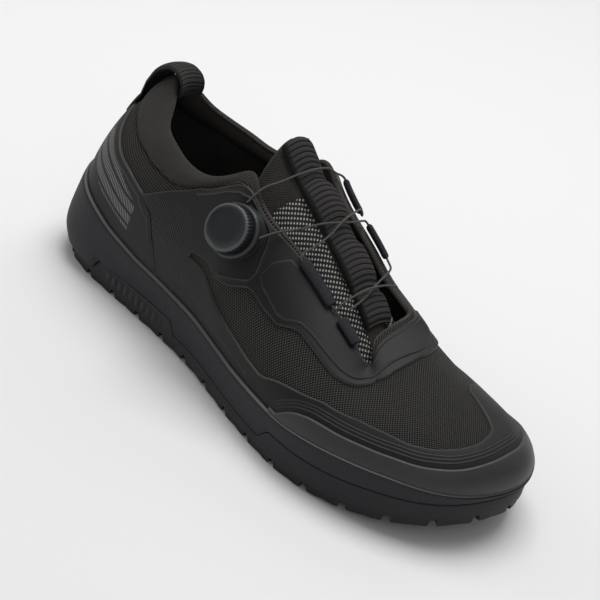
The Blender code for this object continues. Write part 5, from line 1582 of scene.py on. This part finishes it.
def make_insole():
    """The footbed: rings lie inside the upper's foot, with a raised edge at the heel and a soft crown."""
    angles = even_ring(480)
    station = station_of(angles)
    inset = FOOT_INSET + UPPER_WALL + 2 * GAP
    low = footbed(station) + GAP
    high = low + INSOLE_THICKNESS
    side = 0.0035 * smooth((0.55 - station) / 0.5)
    keys = [
        ring_at(angles, inset, low + 0.0012),
        ring_at(angles, inset - 0.0002, low + 0.7 * INSOLE_THICKNESS + side),
        ring_at(angles, inset + 0.0009, high + side),
        ring_at(angles, inset + 0.0032, high + 0.7 * side),
        ring_at(angles, inset + 0.0090, high),
    ]
    rings = [ring_at(angles, inset + 0.0015, low)] + rounded_profile(keys, 5)
    obj = ring_solid("insole_cloth", rings, footbed_finish())
    finish_piece(obj, "lining_cloth", "insole")
    return obj


def through(points, place):
    """A Catmull-Rom curve through rows of numbers or of points; place counts rows from the first."""
    values = np.asarray(points, float)
    padded = np.concatenate([[2 * values[0] - values[1]], values, [2 * values[-1] - values[-2]]])
    place = np.clip(np.asarray(place, float), 0, len(values) - 1)
    i = np.minimum(place.astype(int), len(values) - 2)
    u = (place - i).reshape(place.shape + (1,) * (values.ndim - 1))
    a, b, c, d = (padded[i + k] for k in range(4))
    return 0.5 * (2 * b + (c - a) * u + (2 * a - 5 * b + 4 * c - d) * u**2 + (3 * b - a - 3 * c + d) * u**3)


def tongue_row(position):
    return np.moveaxis(through(TONGUE, np.clip(position, 0, 1) * (len(TONGUE) - 1)), -1, 0)


def tongue_point(position, across):
    """Top of the tongue: its centre line, dropped at the sides by a power of the place across."""
    x, z, half, drop, pad = tongue_row(position)
    side = np.abs(across)
    height = z - TONGUE_DROP * drop * side**1.7
    reach = np.where(across > 0, MEDIAL_REACH, 1.0) * half * BALL_WIDTH
    return np.stack([x * LENGTH + 0.004 * side**2, across * reach, height * TONGUE_HEIGHT], axis=-1)


def tongue_normal(position, across, step=1e-3):
    position = np.clip(position, 0.002, 0.998)
    around = tongue_point(position, across + step) - tongue_point(position, across - step)
    along = tongue_point(position + step, across) - tongue_point(position - step, across)
    normal = np.cross(along, around)
    normal *= np.sign(normal[..., 2:3] + 1e-12)
    return unit(normal)


def make_tongue():
    """The padded tongue: a top and an underside that meet in a rounded edge, thinnest at its sides and ends.

    Its thickness follows a quarter circle in from the edge, so the section is crowned like a thin cushion.
    """
    rows, columns = 170, 90
    position, across = np.meshgrid(np.linspace(0, 1, rows), np.linspace(-1, 1, columns), indexing="ij")
    pad = tongue_row(position)[4] * TONGUE_PAD * (1 - 0.45 * np.abs(across) ** 3)
    edge = np.minimum(np.minimum((1 - np.abs(across)) * 0.025, position * 0.12), (1 - position) * 0.12)
    round_off = np.sqrt(1 - (1 - np.clip(edge / 0.0030, 0, 1)) ** 2)
    normal = tongue_normal(position, across)
    base = tongue_point(position, across)
    out = np.abs(across)
    beyond = position - OPEN_MESH_END - OPEN_MESH_SLANT * (out - 0.35)
    panel_line = np.exp(-(((out - PANEL_LINE) / 0.022) ** 2)) * smooth((0.99 - position) / 0.1)
    cross_line = np.exp(-((beyond / 0.009) ** 2)) * (out > PANEL_LINE)
    groove = TONGUE_GROOVE * np.maximum(panel_line, cross_line)
    top = base - normal * ((pad / 2) * (1 - round_off) + groove)[..., None]
    under = base - normal * ((pad / 2) * (1 + round_off))[..., None]
    under[:, [0, -1]] = top[:, [0, -1]]
    grid = np.concatenate([top, under[:, -2:0:-1]], axis=1)
    total = grid.shape[1]
    faces = tube_faces(rows, total)
    along = run_along(base[:, columns // 2])
    wide = run_along(grid, axis=1)
    wide -= wide[:, columns // 2:columns // 2 + 1].copy()
    flat = np.stack([np.broadcast_to(along[:, None], wide.shape), wide], axis=-1)
    past_end, sideways = (np.concatenate([v, v[:, -2:0:-1]], axis=1) for v in (beyond, out))
    on_top = np.arange(total)[None, :] < columns
    open_mesh = on_top & (sideways > 0.34) & (past_end < 0)
    pick = np.where(open_mesh, 1, np.where(on_top, 0, 2))[:-1]
    finishes = [knit_finish(), open_mesh_finish(), lining_finish()]
    picks = np.append(pick.ravel(), [0, 0])
    obj = add_mesh("tongue_padded", grid.reshape(-1, 3), faces, finishes, flat.reshape(-1, 2), None, picks)
    finish_piece(obj, "knit_mesh", "tongue")
    return obj


def keeper_rise(position):
    """How far the webbing stands off the tongue: over each keeper, one minus a fourth power."""
    rise = np.zeros_like(position)
    for keeper in KEEPERS:
        u = np.clip((position - keeper.start) / (keeper.end - keeper.start), 0, 1)
        rise += keeper.rise * (1 - (2 * u - 1) ** 4)
    return rise


def strap(name, inner, out, wall, finish_used, pitch, ribs=0.0006):
    """A ribbed strap: inner is its grid of points, out its outward directions.

    Its ribs are flat bands between bell-shaped grooves. Its wall rounds off at both sides, and a plain selvedge
    runs along each.
    """
    rows, columns = inner.shape[:2]
    run = run_along(inner[:, columns // 2])
    across = np.abs(np.linspace(-1, 1, columns))
    rounded = np.sqrt(np.clip(1 - across**8, 0.02, 1))
    selvedge = (across < 0.86).astype(float)
    band = 1 - np.exp(-(((np.mod(run / pitch, 1) - 0.5) / 0.15) ** 2))
    thickness = wall * rounded[None, :] + ribs * (band[:, None] - 1) * selvedge[None, :]
    top = inner + out * thickness[..., None]
    grid = np.concatenate([top, inner[:, ::-1]], axis=1)
    total = grid.shape[1]
    faces = tube_faces(rows, total)
    # Painted highlight on the ribs' flat bands, kept in the edge field; grooves and selvedges stay darker.
    lit = 0.25 + 0.75 * band[:, None] * selvedge[None, :]
    light = np.concatenate([lit, np.zeros(inner.shape[:2])], axis=1)
    half = np.linalg.norm(inner[0, 0] - inner[0, -1]) / 2
    place = np.concatenate([np.linspace(-half, half, columns), np.linspace(half, -half, columns)])
    flat = np.stack(np.meshgrid(run, place, indexing="ij"), axis=-1)
    return add_mesh(name, grid.reshape(-1, 3), faces, [finish_used], flat.reshape(-1, 2), {"edge": light}, sharp=60)


def make_webbing():
    """The ribbed tape on the tongue's centre line, arched at each lace keeper."""
    side = np.linspace(-WEBBING_WIDTH / 2, WEBBING_WIDTH / 2, 17)
    position, across = np.meshgrid(np.linspace(0.165, 0.995, 520), side / (0.25 * BALL_WIDTH), indexing="ij")
    base = tongue_point(position, across)
    base[..., 1] = side
    normal = tongue_normal(position, across)
    inner = base + normal * (GAP + keeper_rise(position)[..., None])
    obj = strap("webbing_ribbed", inner, normal, WEBBING_WALL, tape_finish(), sizes().tape_pitch)
    return finish_piece(obj, "ribbed_tape", "tongue_webbing")


def drop_on_upper(points, axis, angle, share):
    """Angles and shares where lines through the points along the axis meet the upper, by Newton's method."""
    axis = np.asarray(axis) / np.linalg.norm(axis)
    side = unit(np.cross(axis, [0.2, 0.3, 0.9]))
    other = np.cross(axis, side)
    a = np.full(len(points), float(angle))
    t = np.full(len(points), float(share))
    step = 1e-4
    for _ in range(14):
        miss = upper_point(a, t) - points
        by_angle = (upper_point(a + step, t) - upper_point(a - step, t)) / (2 * step)
        by_share = (upper_point(a, t + step) - upper_point(a, t - step)) / (2 * step)
        aa, at = by_angle @ side, by_share @ side
        ba, bt = by_angle @ other, by_share @ other
        u, v = miss @ side, miss @ other
        det = aa * bt - at * ba
        a -= np.clip((u * bt - v * at) / det, -0.1, 0.1)
        t -= np.clip((v * aa - u * ba) / det, -0.1, 0.1)
    return a, t


def make_pull_loop():
    """The loop of ribbed tape: sewn flat on the heel, over the collar's tab and down behind it."""
    columns = 17
    y = np.linspace(-1, 1, columns) * LOOP_WIDTH / 2
    inner, out = [], []
    for share in np.linspace(*LOOP_SEWN, 16):
        points = np.stack([np.zeros(columns), y, np.full(columns, share * HEEL_TAB_HEIGHT)], axis=-1)
        a, t = drop_on_upper(points, [1.0, 0.0, 0.0], 0.0, 0.7)
        inner.append(upper_offset(a, t, OVERLAY_GAP + FILM_WALL))
        out.append(upper_normal(a, t))
    path = through(LOOP_PATH, np.linspace(0, len(LOOP_PATH) - 1, 150)) * [LENGTH, HEEL_TAB_HEIGHT]
    along = unit(np.gradient(path, axis=0))
    sewn_bow = inner[-1][:, 0] - inner[-1][columns // 2, 0]
    tab = np.stack([np.zeros(columns), y, np.full(columns, 0.86 * HEEL_TAB_HEIGHT)], axis=-1)
    tab_x = upper_point(*drop_on_upper(tab, [1.0, 0.0, 0.0], 0.0, 0.9))[:, 0]
    tab_bow = tab_x - tab_x[columns // 2]
    for (x, z), (dx, dz), mix in zip(path, along, np.linspace(0, 1, len(path))):
        bow = sewn_bow * (1 - mix) + tab_bow * mix
        inner.append(np.stack([x + bow, y, np.full(columns, z)], axis=-1))
        out.append(np.broadcast_to([-dz, 0.0, dx], (columns, 3)))
    inner, out = np.array(inner), np.array(out)
    obj = strap("pull_loop_tape", inner, out, LOOP_WALL, tape_finish(), LOOP_PITCH, LOOP_RIBS)
    return finish_piece(obj, "ribbed_tape", "pull_loop")


def dial_frame():
    """Centre of the dial on the upper and its axis, with two directions across it."""
    centre = upper_point(np.array([angle_of(DIAL_STATION, LATERAL)]), np.array([DIAL_SHARE]))[0]
    axis = np.array(DIAL_AXIS) / np.linalg.norm(DIAL_AXIS)
    along = unit(np.cross(axis, [0.0, 1.0, 0.0]))
    return centre, axis, along, np.cross(axis, along)


def turned(name, rings, finishes, picks, edge, sharp=32):
    """A turned piece from rings round the dial's axis, closed by a fan at each end."""
    count = len(rings[0])
    grid = np.array(rings)
    points = np.concatenate([grid.reshape(-1, 3), [grid[0].mean(axis=0)], [grid[-1].mean(axis=0)]])
    faces = grid_quads(len(grid), count, wrap_columns=True)
    low, high = len(points) - 2, len(points) - 1
    start = (len(grid) - 1) * count
    faces += [[low, (i + 1) % count, i] for i in range(count)]
    faces += [[high, start + i, start + (i + 1) % count] for i in range(count)]
    # The edge field is a painted highlight on each ring.
    light = np.concatenate([np.repeat(edge, count), [0.0, 0.0]])
    rows = np.concatenate([np.repeat(picks[:-1], count), np.full(count, picks[0]), np.full(count, picks[-1])])
    return add_mesh(name, points, faces, finishes, None, {"edge": light}, rows, sharp)


def dial_ring(radius, height, count):
    """Points round the dial's axis at a radius and a height."""
    centre, axis, along, across = dial_frame()
    angles = np.linspace(0, 2 * math.pi, count, endpoint=False)
    radius = np.broadcast_to(radius, angles.shape)[:, None]
    outward = np.cos(angles)[:, None] * along + np.sin(angles)[:, None] * across
    return centre + radius * outward + height * axis


def make_dial():
    """The dial: a foot moulded to the upper, and a knob whose knurls are a slanted sine round its side."""
    count = 160
    rings, edge = [], []
    # The third number of each ring is a painted highlight along the foot's rim.
    for radius, lift, light in (
        (0.05 * BASE_RADIUS, 0.0008, 0.0), (0.5 * BASE_RADIUS, 0.0008, 0.0), (BASE_RADIUS, 0.0008, 0.0),
        (BASE_RADIUS + 0.0005, 0.0019, 0.2),
    ):
        ring = dial_ring(radius, 0.0, count)
        a, t = drop_on_upper(ring, DIAL_AXIS, angle_of(DIAL_STATION, LATERAL), DIAL_SHARE)
        rings.append(upper_offset(a, t, lift))
        edge.append(light)
    for radius, height, light in (
        (BASE_RADIUS + 0.0003, BASE_HEIGHT - 0.0022, 0.0), (BASE_RADIUS, BASE_HEIGHT - 0.0008, 0.3),
        (BASE_RADIUS - 0.0006, BASE_HEIGHT - 0.0001, 0.4), (BASE_RADIUS - 0.0016, BASE_HEIGHT, 0.0),
        (DIAL_RADIUS - 0.0030, BASE_HEIGHT, 0.0),
    ):
        rings.append(dial_ring(radius, height, count))
        edge.append(light)
    plastic, face = plastic_finish(), face_finish()
    base = turned("dial_foot", rings, [plastic], [0] * len(rings), edge)
    finish_piece(base, "dial_plastic", "dial_base")

    knurls = sizes().knurls
    fine = knurls * 8
    turn = np.linspace(0, 2 * math.pi, fine, endpoint=False)
    low = BASE_HEIGHT + 0.0002
    high = BASE_HEIGHT + GAP + DIAL_HEIGHT
    # The last number of each ring is a painted highlight along the knob's rounded top edge.
    profile = [
        (DIAL_RADIUS - 0.0030, low, 0.0, 0, 0.0), (DIAL_RADIUS - 0.0008, low, 0.3, 0, 0.0),
        (DIAL_RADIUS - 0.0001, low + 0.0006, 1.0, 0, 0.0), (DIAL_RADIUS, low + 0.0020, 1.0, 0, 0.0),
        (DIAL_RADIUS, high - 0.0026, 1.0, 0, 0.0), (DIAL_RADIUS - 0.0002, high - 0.0014, 0.9, 0, 0.1),
        (DIAL_RADIUS - 0.0006, high - 0.0006, 0.25, 0, 0.7), (DIAL_RADIUS - 0.0011, high - 0.0001, 0.0, 0, 1.0),
        (DIAL_RADIUS - 0.0016, high, 0.0, 0, 0.7), (DIAL_RADIUS - 0.0021, high - 0.0002, 0.0, 0, 0.1),
        (DIAL_RADIUS - 0.0024, high - 0.0006, 0.0, 1, 0.0), (DIAL_RADIUS * 0.5, high - 0.0005, 0.0, 1, 0.0),
        (DIAL_RADIUS * 0.1, high - 0.0004, 0.0, 1, 0.0),
    ]
    rings, picks, edge = [], [], []
    for radius, height, depth, pick, light in profile:
        wave = 0.5 + 0.5 * np.cos(knurls * turn + KNURL_SLANT * (height - low))
        rings.append(dial_ring(radius - KNURL_DEPTH * depth * wave, height, fine))
        picks.append(pick)
        edge.append(light)
    knob = turned("dial_knob_turned", rings, [plastic, face], picks, edge, sharp=60)
    return finish_piece(knob, "dial_plastic", "dial_knob")


def sweep(path, up, width, height, sides):
    """Points round a path: an ellipse of a full width and height, its height along the up vectors."""
    along = unit(np.gradient(path, axis=0))
    side = unit(np.cross(along, np.broadcast_to(up, path.shape)))
    raised = np.cross(side, along)
    turns = np.linspace(0, 2 * math.pi, sides, endpoint=False)
    width, height = np.reshape(width, (-1, 1, 1)), np.reshape(height, (-1, 1, 1))
    sideways = np.cos(turns)[None, :, None] * side[:, None] * width / 2
    return path[:, None] + sideways + np.sin(turns)[None, :, None] * raised[:, None] * height / 2


def guide_path(guide, count):
    angles = np.linspace(angle_of(guide.first, guide.side), angle_of(guide.last, guide.side), count)
    lift = OVERLAY_GAP + FILM_WALL + GAP + GUIDE_OUTER[1] / 2
    return upper_offset(angles, guide.share, lift), upper_normal(angles, guide.share)


def make_guides():
    """Lace guides of folded tape: a tube with a rounded mouth, closed from skin to bore at both ends."""
    for guide in GUIDES:
        count, sides = 40, 28
        path, up = guide_path(guide, count)
        ends = np.minimum(np.arange(count), np.arange(count)[::-1]) / 3
        swell = 1 - 0.22 * (1 - np.clip(ends, 0, 1)) ** 2
        skin = sweep(path, up, GUIDE_OUTER[0] * swell, GUIDE_OUTER[1] * swell, sides)
        bore = sweep(path, up, *GUIDE_BORE, sides)
        grid = np.concatenate([skin, bore[::-1]])
        faces = grid_quads(len(grid), sides, wrap_rows=True, wrap_columns=True)
        run = run_along(path)
        around = np.linspace(0, 0.014, sides)
        flat = np.stack(np.meshgrid(np.concatenate([run, run[::-1]]), around, indexing="ij"), axis=-1)
        obj = add_mesh(guide.name + "_tape", grid.reshape(-1, 3), faces, [guide_finish()], flat.reshape(-1, 2))
        finish_piece(obj, "ribbed_tape", guide.name)


def lace_route(run, guides):
    """The run's points with each guide's centre line between its stretches, led straight out of each end."""
    points = list(run[0])
    for stretch, guide in zip(run[1:], guides):
        centre = guide_path(guide, 4)[0]
        along = (centre[-1] - centre[0]) / np.linalg.norm(centre[-1] - centre[0])
        points += [tuple(centre[0] - LACE_STRAIGHT * along), *map(tuple, centre[1:-1])]
        points += [tuple(centre[-1] + LACE_STRAIGHT * along), *stretch]
    return points


def make_laces():
    """The two runs of the lace: a round tube along each route, its strands drawn by its finish."""
    for name, run, guides in (
        ("lace_upper_run", UPPER_RUN, [MEDIAL_UPPER, LATERAL_UPPER]),
        ("lace_lower_run", LOWER_RUN, [MEDIAL_LOWER]),
    ):
        route = lace_route(run, guides)
        path = through(route, np.linspace(0, len(route) - 1, 12 * len(route)))
        sides = 12
        grid = sweep(path, [0.35, 0.15, 0.92], LACE_DIAMETER, LACE_DIAMETER, sides)
        faces = tube_faces(len(path), sides)
        along = run_along(path)
        around = np.linspace(0, math.pi * LACE_DIAMETER, sides)
        flat = np.stack(np.meshgrid(along, around, indexing="ij"), axis=-1)
        obj = add_mesh(name + "_cord", grid.reshape(-1, 3), faces, [cord_finish()], flat.reshape(-1, 2))
        finish_piece(obj, "lace_cord", name)


def area_light(name, place, aim, size, power):
    data = bpy.data.lights.new(name, "AREA")
    data.shape = "RECTANGLE"
    data.size, data.size_y = size
    data.energy = power
    obj = bpy.data.objects.new(name, data)
    obj.location = place
    obj.rotation_mode = "QUATERNION"
    obj.rotation_quaternion = (Vector(aim) - Vector(place)).to_track_quat("-Z", "Y")
    bpy.context.scene.collection.objects.link(obj)


def make_stage():
    """The studio: a pale floor, soft lights, pale surroundings and the photograph's camera."""
    scene = bpy.context.scene
    corners = [(x * FLOOR_REACH, y * FLOOR_REACH, 0) for x, y in ((-1, -1), (1, -1), (1, 1), (-1, 1))]
    mesh = bpy.data.meshes.new("floor")
    mesh.from_pydata(corners, [], [(0, 1, 2, 3)])
    mesh.materials.append(floor_finish())
    floor = bpy.data.objects.new("floor", mesh)
    scene.collection.objects.link(floor)
    world = bpy.data.worlds.new("studio")
    world.use_nodes = True
    background = world.node_tree.nodes["Background"]
    background.inputs["Color"].default_value = (1.0, 1.0, 1.0, 1.0)
    background.inputs["Strength"].default_value = SURROUNDINGS
    scene.world = world
    area_light("top_soft", (-0.15, 0.25, 1.45), (0.0, 0.0, 0.0), (1.1, 0.9), 17.2)
    area_light("toe_side", (1.1, -0.9, 0.9), (0.05, 0.0, 0.05), (0.9, 0.9), 2.0)
    area_light("heel_side", (-1.2, -0.5, 0.7), (-0.05, 0.0, 0.05), (0.5, 0.8), 2.5)
    area_light("far_side", (-0.2, 1.3, 0.9), (0.0, 0.0, 0.05), (1.0, 0.8), 3.0)
    scene.view_settings.view_transform = "Standard"
    scene.view_settings.look = "None"

    a, e, roll = (math.radians(v) for v in (AZIMUTH, ELEVATION, ROLL))
    back = Vector((math.sin(a) * math.cos(e), -math.cos(a) * math.cos(e), math.sin(e)))
    level = Vector((math.cos(a), math.sin(a), 0.0))
    upright = back.cross(level)
    right = math.cos(roll) * level + math.sin(roll) * upright
    up = -math.sin(roll) * level + math.cos(roll) * upright
    data = bpy.data.cameras.new("camera")
    data.sensor_width = SENSOR
    data.lens = SENSOR * SCALE * DISTANCE / PICTURE
    data.shift_x = (PICTURE / 2 - TARGET_PIXEL[0]) / PICTURE
    data.shift_y = (TARGET_PIXEL[1] - PICTURE / 2) / PICTURE
    data.clip_start = 0.01
    data.clip_end = 50.0
    camera = bpy.data.objects.new("camera", data)
    place = Vector(TARGET) + Vector(SHIFT) + back * DISTANCE
    rotation = Matrix((right, up, back)).transposed().to_4x4()
    camera.matrix_world = Matrix.Translation(place) @ rotation
    scene.collection.objects.link(camera)
    scene.camera = camera


class ShoeOperator:
    """What every piece's operator shares: it builds and reports that it finished."""

    bl_options = {"REGISTER", "UNDO"}
    build = None

    def execute(self, context):
        type(self).build()
        return {"FINISHED"}


class SHOE_OT_stage(ShoeOperator, bpy.types.Operator):
    """Adds the floor, the lights and the camera"""

    bl_idname = "shoe.stage"
    bl_label = "Stage"
    build = staticmethod(make_stage)


class SHOE_OT_laces(ShoeOperator, bpy.types.Operator):
    """Adds the two runs of the lace"""

    bl_idname = "shoe.laces"
    bl_label = "Laces"
    build = staticmethod(make_laces)


class SHOE_OT_upper(ShoeOperator, bpy.types.Operator):
    """Adds the hollow knit upper with its padded collar"""

    bl_idname = "shoe.upper"
    bl_label = "Upper"
    build = staticmethod(make_upper)


class SHOE_OT_heel_panel(ShoeOperator, bpy.types.Operator):
    """Adds the printed film round the heel"""

    bl_idname = "shoe.heel_panel"
    bl_label = "Heel panel"
    build = staticmethod(make_heel_panel)


class SHOE_OT_eyestay(ShoeOperator, bpy.types.Operator):
    """Adds the moulded film round the throat"""

    bl_idname = "shoe.eyestay"
    bl_label = "Eyestay"
    build = staticmethod(make_eyestay)


class SHOE_OT_rand_film(ShoeOperator, bpy.types.Operator):
    """Adds the film between the vamp and the rand"""

    bl_idname = "shoe.rand_film"
    bl_label = "Rand film"
    build = staticmethod(make_rand_film)


class SHOE_OT_toe_rand(ShoeOperator, bpy.types.Operator):
    """Adds the rubber rand round the toe"""

    bl_idname = "shoe.toe_rand"
    bl_label = "Toe rand"
    build = staticmethod(make_toe_rand)


class SHOE_OT_midsole(ShoeOperator, bpy.types.Operator):
    """Adds the foam cup midsole"""

    bl_idname = "shoe.midsole"
    bl_label = "Midsole"
    build = staticmethod(make_midsole)


class SHOE_OT_outsole(ShoeOperator, bpy.types.Operator):
    """Adds the rubber outsole and its tread"""

    bl_idname = "shoe.outsole"
    bl_label = "Outsole"
    build = staticmethod(make_outsole)


class SHOE_OT_insole(ShoeOperator, bpy.types.Operator):
    """Adds the footbed"""

    bl_idname = "shoe.insole"
    bl_label = "Insole"
    build = staticmethod(make_insole)


class SHOE_OT_tongue(ShoeOperator, bpy.types.Operator):
    """Adds the padded tongue with its open mesh sides"""

    bl_idname = "shoe.tongue"
    bl_label = "Tongue"
    build = staticmethod(make_tongue)


class SHOE_OT_webbing(ShoeOperator, bpy.types.Operator):
    """Adds the ribbed webbing on the tongue"""

    bl_idname = "shoe.webbing"
    bl_label = "Tongue webbing"
    build = staticmethod(make_webbing)


class SHOE_OT_pull_loop(ShoeOperator, bpy.types.Operator):
    """Adds the heel's pull loop"""

    bl_idname = "shoe.pull_loop"
    bl_label = "Pull loop"
    build = staticmethod(make_pull_loop)


class SHOE_OT_guides(ShoeOperator, bpy.types.Operator):
    """Adds the lace guides"""

    bl_idname = "shoe.guides"
    bl_label = "Lace guides"
    build = staticmethod(make_guides)


class SHOE_OT_dial(ShoeOperator, bpy.types.Operator):
    """Adds the dial's foot and knob"""

    bl_idname = "shoe.dial"
    bl_label = "Dial"
    build = staticmethod(make_dial)


OPERATORS = [
    SHOE_OT_stage, SHOE_OT_laces, SHOE_OT_upper, SHOE_OT_heel_panel, SHOE_OT_eyestay, SHOE_OT_rand_film,
    SHOE_OT_toe_rand, SHOE_OT_midsole, SHOE_OT_outsole, SHOE_OT_insole, SHOE_OT_tongue, SHOE_OT_webbing,
    SHOE_OT_pull_loop, SHOE_OT_guides, SHOE_OT_dial,
]


class SHOE_PT_panel(bpy.types.Panel):
    """Lists the shoe's pieces, sizes and colours"""

    bl_idname = "SHOE_PT_panel"
    bl_label = "Cycling shoe"
    bl_space_type = "VIEW_3D"
    bl_region_type = "UI"
    bl_category = "Shoe"

    def draw(self, context):
        for operator in OPERATORS:
            self.layout.operator(operator.bl_idname)
        for group in (context.scene.shoe_sizes, context.scene.shoe_colours):
            box = self.layout.box()
            for key in group.__annotations__:
                box.prop(group, key)


CLASSES = [ShoeColours, ShoeSizes, *OPERATORS, SHOE_PT_panel]


def register():
    for item in CLASSES:
        bpy.utils.register_class(item)
    bpy.types.Scene.shoe_colours = PointerProperty(type=ShoeColours)
    bpy.types.Scene.shoe_sizes = PointerProperty(type=ShoeSizes)


def unregister():
    del bpy.types.Scene.shoe_sizes
    del bpy.types.Scene.shoe_colours
    for item in reversed(CLASSES):
        bpy.utils.unregister_class(item)


def main():
    register()
    for operator in OPERATORS:
        getattr(bpy.ops.shoe, operator.bl_idname.split(".")[1])()


if __name__ == "__main__":
    main()
